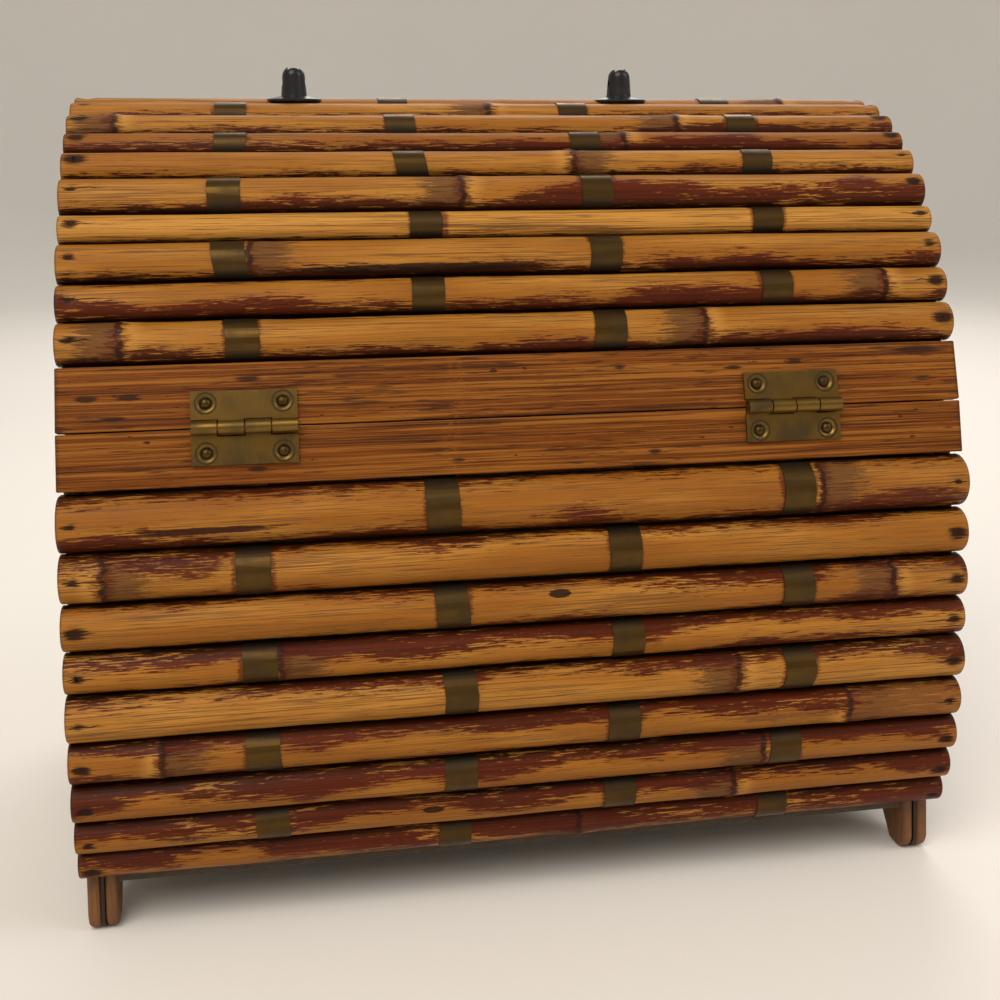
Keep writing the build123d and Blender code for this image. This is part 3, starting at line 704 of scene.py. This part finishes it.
def finish_piece(name, bm, materials, body, nodes, sharp=40.0):
    """Makes an object of the mesh, and says what it rides on and stands for."""
    bmesh.ops.recalc_face_normals(bm, faces=bm.faces)
    for face in bm.faces:
        face.smooth = True
    mesh = bpy.data.meshes.new(name)
    bm.to_mesh(mesh)
    bm.free()
    mesh.set_sharp_from_angle(angle=math.radians(sharp))
    for material in materials:
        mesh.materials.append(material)
    piece = bpy.data.objects.new(name, mesh)
    bpy.context.scene.collection.objects.link(piece)
    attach(piece, body)
    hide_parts(*nodes)
    return piece


def dress(name, material):
    """Gives a solid that keeps its shape a better material."""
    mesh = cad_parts[name].data
    mesh.materials.clear()
    mesh.materials.append(material)


def ribbons_over(name):
    """Middles of the ribbons that pass over a cane, in millimetres."""
    if name == "lid_cane_crest":
        row = 0
    else:
        row = int(name.rsplit("_", 1)[1])
    lid = name.startswith("lid")
    weave = LID_WEAVE if lid else BODY_WEAVE
    first = LID_FIRST if lid else BODY_FIRST
    places = []
    for column, start in zip(weave, first):
        if (row - start) % 2 == 0 and row >= start:
            places.append(column[(row - start) // 2])
    return places


def cane_story(name):
    """Joints, lacquer and a seed for a cane; the front takes after the back in another order."""
    seed = sum(ord(letter) * (place + 3) for place, letter in enumerate(name)) % 997
    draw = random.Random(seed)
    if name in LACQUER:
        return JOINTS.get(name, ()), LACQUER[name], seed % 41 + draw.random()
    side, row = name.rsplit("_", 1)
    like = side.replace("front", "back") + "_" + str(int(row) * 4 % 9 + 1)
    joints = tuple((-place + draw.uniform(-9, 9), -scar) for place, scar in JOINTS.get(like, ()))
    high_one, high_two, low_one, low_two, tint = LACQUER[like]
    lacquer = (low_two, low_one, high_two, high_one, min(0.9, tint + draw.uniform(-0.1, 0.1)))
    return joints, lacquer, seed % 41 + draw.random()


def spot_gap(along, around, spots):
    """Unsigned distances to the nearest spot, in its half lengths and half widths, and its tone."""
    far = 4.0
    gaps = [(min(far, abs(along - x) / length), min(far, abs(around - y) / width), tone)
            for x, y, length, width, tone in spots]
    return min(gaps, key=lambda gap: math.hypot(gap[0], gap[1]), default=(far, far, 0.0))


def cane_shell(bm, lay, look):
    """A half-round bar with its flat side down: half a ring, short straight sides, drawn out and closed."""
    radius = lay.half + look.widen
    side = lay.depth - lay.half
    bmesh.ops.create_circle(bm, cap_ends=False, segments=2 * look.facets, radius=radius)
    bmesh.ops.bisect_plane(bm, geom=bm.verts[:] + bm.edges[:], dist=1e-7, plane_co=(0, 0, 0),
                           plane_no=(0, 1, 0), clear_inner=True)
    feet = [vertex for vertex in bm.verts if len(vertex.link_edges) == 1]
    lowered = bmesh.ops.extrude_vert_indiv(bm, verts=feet)["verts"]
    bmesh.ops.translate(bm, verts=lowered, vec=(0, -side, 0))
    upright = Matrix(((0, 0, 1, -lay.length / 2), (1, 0, 0, 0), (0, 1, 0, side), (0, 0, 0, 1)))
    bmesh.ops.transform(bm, matrix=upright, verts=bm.verts)
    bmesh.ops.scale(bm, vec=(1, 1, lay.depth / (radius + side)), verts=bm.verts)
    drawn = bmesh.ops.extrude_edge_only(bm, edges=bm.edges[:])["geom"]
    bmesh.ops.translate(bm, verts=points_in(drawn), vec=(lay.length, 0, 0))
    long_edges = [edge for edge in bm.edges if run_along(edge) > TINY]
    bmesh.ops.subdivide_edges(bm, edges=long_edges, cuts=look.rings, use_grid_fill=True)
    hems = [edge for edge in bm.edges if edge.is_boundary and run_along(edge) > TINY]
    bmesh.ops.bridge_loops(bm, edges=hems)
    rims = [edge for edge in bm.edges if edge.is_boundary]
    bmesh.ops.holes_fill(bm, edges=rims, sides=0)
    round_edges(bm, rims, look.end_round)
    return radius, side


def swell(gap, ridge):
    """Height of a bamboo joint at a signed distance in millimetres from its ring."""
    return ridge * (math.exp(-(gap / 1.3) ** 2) + 0.55 * math.exp(-(gap / 5.0) ** 2)
                    - 0.9 * math.exp(-((gap - 1.5) / 0.6) ** 2))


def make_cane(name, body, look, materials):
    """One split cane with joints that swell, a wandering line and rounded ends."""
    lay = Lay(name)
    joints, lacquer, seed = cane_story(name)
    high_one, high_two, low_one, low_two, tint = lacquer
    bands = ribbons_over(name)
    # On the other side of a joint's ring, distances grow this much faster
    steep = 6.0
    bm = bmesh.new()
    grain = bm.verts.layers.float_vector.new("grain")
    marks = bm.verts.layers.float_vector.new("marks")
    coat = bm.verts.layers.float_vector.new("lacquer")
    pale_gap = bm.verts.layers.float.new("pale_gap")
    spot = bm.verts.layers.float_vector.new("spot")
    radius, side = cane_shell(bm, lay, look)
    for vertex in bm.verts:
        x, across, up = vertex.co
        turn = math.atan2(across, max(up - side, 0.0)) if abs(across) + abs(up - side) > 1e-9 else 0.0
        around = radius * turn
        if up < side:
            around += math.copysign(side - up, across)
        along = x / MM
        near = min(joints, key=lambda mark: abs(along - mark[0]), default=(10 * HALF_LENGTH, 1))
        gap = (along - near[0]) * near[1]
        clear = min((abs(along - band) - RIBBON_HALF for band in bands), default=FAR_RIBBON)
        vertex[grain] = (along, around / MM, seed)
        scar_gap = min(FAR_JOINT, gap if gap > 0 else -steep * gap)
        vertex[marks] = (scar_gap, max(0.0, min(FAR_RIBBON, clear)), turn / (math.pi / 2))
        vertex[pale_gap] = min(FAR_JOINT, steep * gap if gap > 0 else -gap)
        vertex[spot] = spot_gap(along, around / MM, SPOTS.get(name, ()))
        share = x / lay.length + 0.5
        high_side = high_two + (high_one - high_two) * share
        low_side = low_two + (low_one - low_two) * share
        vertex[coat] = (high_side, low_side, tint)
        if up < TINY:
            continue
        free = max(0.0, min(1.0, (clear + 1.0) / 3.0))
        round_face = 0.35 + 0.65 * math.cos(turn)
        push = swell(gap, look.ring_swell) * round_face * free if abs(gap) < FAR_JOINT else 0.0
        push += look.sway * 0.6 * noise.noise((along * 0.05, turn * 1.2, seed * 3.7)) * free
        nail_gap = math.hypot(lay.length / 2 / MM - abs(along) - NAIL_INSET, around / MM)
        push -= look.nail_dimple * math.exp(-(nail_gap / 1.5) ** 2)
        hold = max(0.0, min(1.0, (clear + 2.0) / 14.0))
        hold = hold * hold * (3.0 - 2.0 * hold)
        drift = look.sway * 2.0 * noise.noise((along * 0.022, 4.1, seed * 2.3)) * hold
        vertex.co.y += drift + push * math.sin(turn)
        vertex.co.z += push * math.cos(turn) if up >= side else 0.0
    bm.faces.ensure_lookup_table()
    bm.normal_update()
    tip = lay.length / 2 - look.end_round * 0.1
    for face in bm.faces:
        if all(vertex.co.z < TINY for vertex in face.verts):
            face.material_index = 1
        elif all(abs(vertex.co.x) > tip for vertex in face.verts):
            face.material_index = 2
    bmesh.ops.transform(bm, matrix=lay.seat(), verts=bm.verts)
    for vertex in bm.verts:
        vertex.co.y = max(CAD_BOX[0][1], min(CAD_BOX[1][1], vertex.co.y))
    return finish_piece(name + "_split", bm, materials, body, [name], sharp=50.0)


def make_slat(name, body, look, material, joint, red, seed):
    """A flat strip with worn edges and a fibre pattern that follows its length."""
    lay = Lay(name)
    seam = 1.0 if body == "lid" else -1.0
    stains = [(*stain, 1.0) for stain in STAINS[name]]
    bm = bmesh.new()
    grain = bm.verts.layers.float_vector.new("grain")
    marks = bm.verts.layers.float_vector.new("marks")
    spot = bm.verts.layers.float_vector.new("spot")
    bmesh.ops.create_cube(bm, size=1.0)
    bmesh.ops.scale(bm, vec=(lay.length, 2 * lay.half, lay.depth), verts=bm.verts)
    bmesh.ops.translate(bm, vec=(0, 0, lay.depth / 2), verts=bm.verts)
    round_edges(bm, bm.edges[:], look.edge)
    long_edges = [edge for edge in bm.edges if run_along(edge) > lay.length / 2]
    bmesh.ops.subdivide_edges(bm, edges=long_edges, cuts=SLAT_CUTS_ALONG, use_grid_fill=True)
    wide_edges = [edge for edge in bm.edges if abs((edge.verts[0].co - edge.verts[1].co).y) > lay.half]
    bmesh.ops.subdivide_edges(bm, edges=wide_edges, cuts=SLAT_CUTS_ACROSS, use_grid_fill=True)
    for vertex in bm.verts:
        x, across, up = vertex.co
        vertex[grain] = (x / MM, across / MM + up / MM, seed)
        vertex[marks] = (x / MM - joint, 0.0, red)
        vertex[spot] = spot_gap(x / MM, across / MM, stains)
        inward = SLAT_WEAR * MM * (0.5 + 0.5 * noise.noise((x * 55.0, math.copysign(3.0, across), seed)))
        if across * seam > lay.half - look.edge * 1.5:
            vertex.co.y += look.seam_fill * seam
        elif across * seam < look.edge * 1.5 - lay.half:
            vertex.co.y += inward * seam
    bmesh.ops.transform(bm, matrix=lay.seat(), verts=bm.verts)
    return finish_piece(name + "_strip", bm, [material], body, [name])


def outline_rims(bm):
    """Sharp edges round both faces of a drawn-out sheet, without the rims of its nail holes."""
    shortest_outline = 60 * MM
    rims = [edge for edge in bm.edges if run_along(edge) < TINY and edge.calc_face_angle(0.0) > 1.0]
    waiting = set(rims)
    kept = []
    for start in rims:
        loop = [start] if start in waiting else []
        waiting.discard(start)
        for edge in loop:
            for vertex in edge.verts:
                for other in vertex.link_edges:
                    if other in waiting:
                        waiting.discard(other)
                        loop.append(other)
        if sum(edge.calc_length() for edge in loop) > shortest_outline:
            kept += loop
    return kept


def make_panel(name, body, look, materials):
    """An end panel of three plies, each drawn out from the panel's outline; the outer and inner plies are
    rounded at their rims.
    """
    low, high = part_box(name)
    outward = 1.0 if low.x > 0 else -1.0
    outer, inner = (high.x, low.x) if outward > 0 else (low.x, high.x)
    core_start = outer - outward * look.outer_ply
    core_stop = outer - outward * (look.outer_ply + look.core_ply)
    layers = (
        (outer, core_start, 0, look.edge),
        (core_start, core_stop, 1, 0.0),
        (core_stop, inner, 2, look.edge),
    )
    whole = bmesh.new()
    for start, stop, tone, edge in layers:
        ply = solid_mesh(name)
        ply.normal_update()
        rest = [face for face in ply.faces
                if face.normal.x * outward < 0.99 or abs(face.verts[0].co.x - outer) > 1e-5]
        bmesh.ops.delete(ply, geom=rest, context="FACES")
        bmesh.ops.dissolve_faces(ply, faces=ply.faces[:])
        bmesh.ops.dissolve_limit(ply, angle_limit=math.radians(1.5), verts=ply.verts, edges=ply.edges)
        bmesh.ops.translate(ply, verts=ply.verts, vec=(start - outer, 0, 0))
        drawn = bmesh.ops.extrude_face_region(ply, geom=ply.faces[:])["geom"]
        bmesh.ops.translate(ply, verts=points_in(drawn), vec=(stop - start, 0, 0))
        bmesh.ops.recalc_face_normals(ply, faces=ply.faces)
        if edge:
            round_edges(ply, outline_rims(ply), edge)
        for face in ply.faces:
            face.material_index = tone
        layer = bpy.data.meshes.new("ply")
        ply.to_mesh(layer)
        ply.free()
        whole.from_mesh(layer)
        bpy.data.meshes.remove(layer)
    return finish_piece(name + "_plies", whole, materials, body, [name], sharp=35.0)


def screw_seats(name):
    """Where each hinge screw's axis leaves the leaf, and the outward way; nearness tells screws apart."""
    screw_reach = 9 * MM
    shank_end = 0.1 * MM
    head_drop = 0.39 * MM
    out = Lay("lid_slat_back" if name.startswith("lid") else "body_slat_back").out
    groups = []
    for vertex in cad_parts[name].data.vertices:
        for group in groups:
            if (group[0] - vertex.co).length < screw_reach:
                group.append(vertex.co)
                break
        else:
            groups.append([vertex.co])
    seats = []
    for group in groups:
        tip = min(spot.dot(out) for spot in group)
        shank = [spot for spot in group if spot.dot(out) < tip + shank_end]
        axis_spot = sum(shank, Vector()) / len(shank)
        axis_spot.x = halfway([spot.x for spot in group])
        top = max(spot.dot(out) for spot in group) - head_drop
        seats.append((axis_spot + out * (top - axis_spot.dot(out)), out))
    return seats


def rounded_copy(name, body, material, edge):
    """A copy of a solid with its flat faces joined up and its hard edges slightly rounded."""
    bm = solid_mesh(name)
    bmesh.ops.dissolve_limit(bm, angle_limit=math.radians(1.0), verts=bm.verts, edges=bm.edges)
    piece = finish_piece(name + "_rounded", bm, [material], body, [name], sharp=30.0)
    bevel = piece.modifiers.new("worn_edges", "BEVEL")
    bevel.width = edge
    bevel.segments = 2
    bevel.limit_method = "ANGLE"
    bevel.angle_limit = math.radians(35.0)
    flat = piece.modifiers.new("flat_faces", "WEIGHTED_NORMAL")
    flat.weight = 100
    flat.keep_sharp = True
    return piece


def catch_top(name, slat):
    """Where the axis of a catch piece leaves its head, and the outward way of the slat that it stands on."""
    lay = Lay(slat)
    spots = [vertex.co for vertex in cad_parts[name].data.vertices]
    x = halfway([spot.x for spot in spots])
    across = halfway([spot.dot(lay.down) for spot in spots])
    top = max(spot.dot(lay.out) for spot in spots)
    return Vector((x, 0, 0)) + lay.down * across + lay.out * top, lay.out


def turn_pieces(name, body, material, profile, seats, slotted=False):
    """Pins and screws, each turned from a profile of radius and height in millimetres, and a darkening that
    is soiling and painted shade.
    """
    facets = 28
    across_slot = (0.8, 0.6)
    pin = bmesh.new()
    rim = pin.verts.layers.float_vector.new("rim")
    spots = []
    # The third number of a profile point darkens the head. High values paint shade at its rim, under it and
    # in its recess.
    for radius, height, dirt_and_shade in profile:
        spots.append(pin.verts.new((radius * MM, 0.0, height * MM)))
        spots[-1][rim] = (dirt_and_shade, FAR_SLOT, 0.0)
    wire = [pin.edges.new(pair) for pair in zip(spots, spots[1:])]
    bmesh.ops.spin(pin, geom=spots + wire, cent=(0, 0, 0), axis=(0, 0, 1), dvec=(0, 0, 0), angle=math.tau,
                   steps=facets, use_merge=True)
    bmesh.ops.remove_doubles(pin, verts=pin.verts, dist=TINY)
    # The slot is not cut. Its place is kept so that a dark line of painted shade can be drawn along it.
    if slotted:
        for vertex in pin.verts:
            vertex[rim].y = (vertex.co.x * across_slot[0] + vertex.co.y * across_slot[1]) / MM
    one = bpy.data.meshes.new("pin")
    pin.to_mesh(one)
    pin.free()
    whole = bmesh.new()
    for seat, out in seats:
        start = len(whole.verts)
        whole.from_mesh(one)
        whole.verts.ensure_lookup_table()
        turn = out.to_track_quat("Z", "X").to_matrix().to_4x4()
        bmesh.ops.transform(whole, matrix=Matrix.Translation(seat) @ turn, verts=whole.verts[start:])
    bpy.data.meshes.remove(one)
    return finish_piece(name + "_turned", whole, [material], body, [name], sharp=50.0)


def weave_shift(x, height, weave, places, first, rows):
    """A ribbon's lead off its straight line at a height, in metres, and x off that line in millimetres."""
    column = min(range(len(places)), key=lambda place: abs(x / MM - places[place]))
    spots = [(rows[first[column] + 2 * step], value) for step, value in enumerate(weave[column])
             if first[column] + 2 * step in rows]
    if height >= spots[0][0]:
        value = spots[0][1]
    elif height <= spots[-1][0]:
        value = spots[-1][1]
    else:
        for (top, one), (low, two) in zip(spots, spots[1:]):
            if low <= height <= top:
                value = one + (two - one) * (top - height) / (top - low)
                break
    return value * MM - places[column] * MM, x / MM - places[column]


def make_ribbons(name, body, material, weave, places, first, rows, lays):
    """The woven ribbons, each led off its straight line, darker at their rims, and with painted shade where
    they dip between the canes.
    """
    bm = solid_mesh(name)
    rim = bm.verts.layers.float_vector.new("rim")
    for vertex in bm.verts:
        shift, off = weave_shift(vertex.co.x, vertex.co.z, weave, places, first, rows)
        sunk = min(lay.sunk(vertex.co) for lay in lays)[1]
        # Across the ribbon, no slot, and how far round the cane below, which is painted as shade in the
        # grooves.
        vertex[rim] = (off / RIBBON_HALF, FAR_SLOT, sunk)
        vertex.co.x += shift
    return finish_piece(name + "_woven", bm, [material], body, [name], sharp=30.0)


class TRINKET_OT_canes(bpy.types.Operator):
    """Make the split canes of the lid and the body"""
    bl_idname = "trinket.canes"
    bl_label = "Split canes"

    def execute(self, context):
        look = context.scene.trinket_canes
        materials = [cane_finish(look), pith_finish(look), end_grain_finish(look)]
        make_cane("lid_cane_crest", "lid", look, materials)
        for side in ("back", "front"):
            for row in ROWS:
                make_cane(f"lid_cane_{side}_{row}", "lid", look, materials)
            for row in ROWS:
                make_cane(f"body_cane_{side}_{row}", "box", look, materials)
        return {"FINISHED"}


class TRINKET_OT_slats(bpy.types.Operator):
    """Make the flat slats on both sides of the seam"""
    bl_idname = "trinket.slats"
    bl_label = "Seam slats"

    def execute(self, context):
        look = context.scene.trinket_slats
        material = slat_finish(look)
        make_slat("lid_slat_back", "lid", look, material, joint=19.0, red=0.15, seed=3.0)
        make_slat("body_slat_back", "box", look, material, joint=21.0, red=0.75, seed=11.0)
        make_slat("lid_slat_front", "lid", look, material, joint=-31.0, red=0.35, seed=19.0)
        make_slat("body_slat_front", "box", look, material, joint=44.0, red=0.65, seed=27.0)
        return {"FINISHED"}


class TRINKET_OT_panels(bpy.types.Operator):
    """Make the plywood end panels with their feet"""
    bl_idname = "trinket.panels"
    bl_label = "End panels"

    def execute(self, context):
        look = context.scene.trinket_timber
        shade = dimmed(look.face, 0.45)
        materials = [
            ply_finish("panel_outer_ply", look.face, shade, True),
            ply_finish("panel_core_ply", look.core, dimmed(look.core, 0.4), False),
            ply_finish("panel_inner_ply", dimmed(look.face, 0.92), shade, True),
        ]
        for side in ("left", "right"):
            make_panel("lid_end_panel_" + side, "lid", look, materials)
            make_panel("body_end_panel_" + side, "box", look, materials)
        return {"FINISHED"}


class TRINKET_OT_board(bpy.types.Operator):
    """Finish the bottom board"""
    bl_idname = "trinket.board"
    bl_label = "Bottom board"

    def execute(self, context):
        look = context.scene.trinket_timber
        material = ply_finish("board_ply", look.board, dimmed(look.board, 0.4), False)
        dress("bottom_board", material)
        return {"FINISHED"}


class TRINKET_OT_ribbons(bpy.types.Operator):
    """Make the woven brass ribbons of the lid and the body"""
    bl_idname = "trinket.ribbons"
    bl_label = "Woven ribbons"

    def execute(self, context):
        look = context.scene.trinket_brass
        material = brass_finish("ribbon_brass", look.ribbon, look, 0.50, True, dents=0.15)
        for body, part, weave, places, first in (
            ("lid", "lid", LID_WEAVE, LID_PLACES, LID_FIRST),
            ("box", "body", BODY_WEAVE, BODY_PLACES, BODY_FIRST),
        ):
            rows = {}
            lays = [Lay(f"{part}_cane_front_{row}") for row in ROWS]
            for row in ROWS:
                lay = Lay(f"{part}_cane_back_{row}")
                rows[row] = (lay.out * (lay.base + lay.depth) + lay.down * lay.middle).z
                lays.append(lay)
            if part == "lid":
                rows[0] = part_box("lid_cane_crest")[1].z
                lays.append(Lay("lid_cane_crest"))
            make_ribbons(part + "_ribbons", body, material, weave, places, first, rows, lays)
        return {"FINISHED"}


class TRINKET_OT_nails(bpy.types.Operator):
    """Finish the nails at the ends of the canes"""
    bl_idname = "trinket.nails"
    bl_label = "Nails"

    def execute(self, context):
        material = iron_finish(context.scene.trinket_brass)
        dress("lid_nails", material)
        dress("body_nails", material)
        return {"FINISHED"}


class TRINKET_OT_hinges(bpy.types.Operator):
    """Make the butt hinges with their pins and screws"""
    bl_idname = "trinket.hinges"
    bl_label = "Hinges"

    def execute(self, context):
        look = context.scene.trinket_brass
        # Radius and height in millimetres, and darkening, which is painted shade round the pin head's rim
        # and in its recess.
        profile = ((0.0, 0.26, 0.2), (0.50, 0.20, 0.3), (0.95, 0.0, 0.6), (1.25, -0.28, 1.1),
                   (1.36, -0.54, 1.2), (0.95, -0.64, 1.2), (0.95, -4.3, 0.3), (0.0, -4.5, 0.3))
        lid_seats = screw_seats("lid_hinge_screws")
        body_seats = screw_seats("body_hinge_screws")
        lid_leaf = brass_finish("lid_hinge_brass", look.hinge, look, 0.50, screws=lid_seats)
        body_leaf = brass_finish("body_hinge_brass", look.hinge, look, 0.70, screws=body_seats)
        screw = brass_finish("pin_brass", dimmed(look.hinge, 0.42), look, 0.6, True)
        rounded_copy("lid_hinge_leaves", "lid", lid_leaf, look.edge)
        rounded_copy("body_hinge_leaves", "box", body_leaf, look.edge)
        dress("hinge_pins", body_leaf)
        turn_pieces("lid_hinge_screws", "lid", screw, profile, lid_seats)
        turn_pieces("body_hinge_screws", "box", screw, profile, body_seats)
        return {"FINISHED"}


class TRINKET_OT_handle(bpy.types.Operator):
    """Finish the bail handle and its posts"""
    bl_idname = "trinket.handle"
    bl_label = "Handle"

    def execute(self, context):
        look = context.scene.trinket_handle
        material = black_finish(look)
        rounded_copy("handle_posts", "lid", material, 0.5 * look.edge)
        rounded_copy("bail_handle", "handle", material, look.edge)
        return {"FINISHED"}


class TRINKET_OT_catch(bpy.types.Operator):
    """Finish the hook catch at the front"""
    bl_idname = "trinket.catch"
    bl_label = "Catch"

    def execute(self, context):
        look = context.scene.trinket_brass
        # Radius and height in millimetres, and darkening, which rises to painted shade at the head's rim and
        # under it.
        head = ((0.0, 0.0, 0.2), (0.8, -0.07, 0.3), (1.5, -0.24, 0.4), (2.05, -0.50, 0.5),
                (2.35, -0.74, 0.9), (2.40, -0.84, 1.1), (2.30, -0.90, 1.2), (1.1, -0.90, 1.1))
        screw = head + ((1.1, -2.30, 1.1), (1.8, -2.30, 1.1), (1.8, -2.70, 1.1), (1.1, -2.70, 1.1),
                        (1.1, -6.1, 0.3), (0.0, -6.2, 0.3))
        stud = head[:-1] + ((1.3, -0.90, 1.1), (1.3, -7.1, 0.6), (0.0, -7.2, 0.3))
        pivot = catch_top("catch_screw", "lid_slat_front")
        peg = catch_top("catch_stud", "body_slat_front")
        on_hook = (pivot[0] - pivot[1] * 1.0 * MM, pivot[1])
        hook_brass = brass_finish("catch_brass", look.catch, look, 0.55, screws=[on_hook])
        head_brass = brass_finish("catch_head_brass", look.catch, look, 0.45, True)
        rounded_copy("catch_hook", "hook", hook_brass, 1.7 * look.edge)
        turn_pieces("catch_screw", "lid", head_brass, screw, [pivot], True)
        turn_pieces("catch_stud", "box", head_brass, stud, [peg])
        return {"FINISHED"}


def floor_finish(tone):
    """Pale matte backdrop paper."""
    f = Finish("backdrop_paper")
    soft = f.cloud(f.place(), 0.004)
    colour = f.mix(soft.step(0.3, 0.7) * 0.25, tone, dimmed(tone, 0.94))
    return f.close(colour, 0.9)


def make_lamp(name, place, aim, size, power, tint):
    """A soft rectangular lamp that is aimed at a spot."""
    lamp = bpy.data.lights.new(name, "AREA")
    lamp.shape = "RECTANGLE"
    lamp.size, lamp.size_y = size
    lamp.energy = power
    lamp.color = tint
    holder = bpy.data.objects.new(name, lamp)
    holder.location = place
    holder.rotation_euler = (Vector(aim) - Vector(place)).to_track_quat("-Z", "Y").to_euler()
    bpy.context.scene.collection.objects.link(holder)


class TRINKET_OT_stage(bpy.types.Operator):
    """Make the pale round backdrop, the soft light and the camera"""
    bl_idname = "trinket.stage"
    bl_label = "Stage"

    def execute(self, context):
        look = context.scene.trinket_stage
        bm = bmesh.new()
        bmesh.ops.create_circle(bm, cap_ends=True, segments=64, radius=FLOOR_RADIUS)
        rim = [edge for edge in bm.edges if edge.is_boundary]
        raised = bmesh.ops.extrude_edge_only(bm, edges=rim)["geom"]
        bmesh.ops.translate(bm, verts=points_in(raised), vec=(0, 0, WALL_HEIGHT))
        round_edges(bm, rim, FLOOR_ROUNDING, segments=12)
        bmesh.ops.recalc_face_normals(bm, faces=bm.faces)
        bmesh.ops.reverse_faces(bm, faces=bm.faces)
        for face in bm.faces:
            face.smooth = True
        mesh = bpy.data.meshes.new("backdrop")
        bm.to_mesh(mesh)
        bm.free()
        mesh.materials.append(floor_finish(look.floor))
        floor = bpy.data.objects.new("backdrop", mesh)
        context.scene.collection.objects.link(floor)

        world = bpy.data.worlds.new("studio_air")
        world.use_nodes = True
        air = world.node_tree.nodes["Background"]
        air.inputs["Color"].default_value = (1.0, 0.98, 0.95, 1.0)
        air.inputs["Strength"].default_value = 0.38
        context.scene.world = world
        make_lamp("key_lamp", (0.45, 0.75, 1.05), (0.0, 0.0, 0.10), (0.8, 0.8), 11.0, (1.0, 0.93, 0.84))
        make_lamp("fill_lamp", (-0.95, 0.50, 0.85), (0.0, 0.0, 0.10), (0.7, 0.7), 4.0, (1.0, 0.97, 0.94))
        make_lamp("rear_lamp", (-0.3, -0.9, 0.9), (0.0, 0.0, 0.12), (0.9, 0.9), 7.0, (1.0, 0.96, 0.92))

        camera = bpy.data.objects.new("camera", bpy.data.cameras.new("camera"))
        camera.data.lens = look.lens
        camera.data.sensor_width = 36.0
        camera.data.shift_y = look.drop
        camera.data.clip_start = 0.01
        camera.location = look.camera_place
        camera.rotation_euler = look.camera_turn
        context.scene.collection.objects.link(camera)
        context.scene.camera = camera
        context.scene.view_settings.view_transform = "Standard"
        return {"FINISHED"}


MAKERS = (
    TRINKET_OT_canes, TRINKET_OT_slats, TRINKET_OT_panels, TRINKET_OT_board, TRINKET_OT_ribbons,
    TRINKET_OT_nails, TRINKET_OT_hinges, TRINKET_OT_handle, TRINKET_OT_catch, TRINKET_OT_stage,
)


class TRINKET_PT_sidebar(bpy.types.Panel):
    """Lists the steps that dress the box"""
    bl_idname = "TRINKET_PT_sidebar"
    bl_label = "Trinket Box"
    bl_space_type = "VIEW_3D"
    bl_region_type = "UI"
    bl_category = "Trinket Box"

    def draw(self, context):
        for maker in MAKERS:
            self.layout.operator(maker.bl_idname)


SETTINGS = {
    "trinket_canes": CaneSettings,
    "trinket_slats": SlatSettings,
    "trinket_timber": TimberSettings,
    "trinket_brass": BrassSettings,
    "trinket_handle": HandleSettings,
    "trinket_stage": StageSettings,
}


def register():
    for name, group in SETTINGS.items():
        bpy.utils.register_class(group)
        setattr(bpy.types.Scene, name, PointerProperty(type=group))
    for maker in MAKERS:
        bpy.utils.register_class(maker)
    bpy.utils.register_class(TRINKET_PT_sidebar)


def unregister():
    bpy.utils.unregister_class(TRINKET_PT_sidebar)
    for maker in reversed(MAKERS):
        bpy.utils.unregister_class(maker)
    for name, group in SETTINGS.items():
        delattr(bpy.types.Scene, name)
        bpy.utils.unregister_class(group)


def main():
    register()
    bpy.ops.trinket.canes()
    bpy.ops.trinket.slats()
    bpy.ops.trinket.panels()
    bpy.ops.trinket.board()
    bpy.ops.trinket.ribbons()
    bpy.ops.trinket.nails()
    bpy.ops.trinket.hinges()
    bpy.ops.trinket.handle()
    bpy.ops.trinket.catch()
    bpy.ops.trinket.stage()


if __name__ == "__main__":
    main()
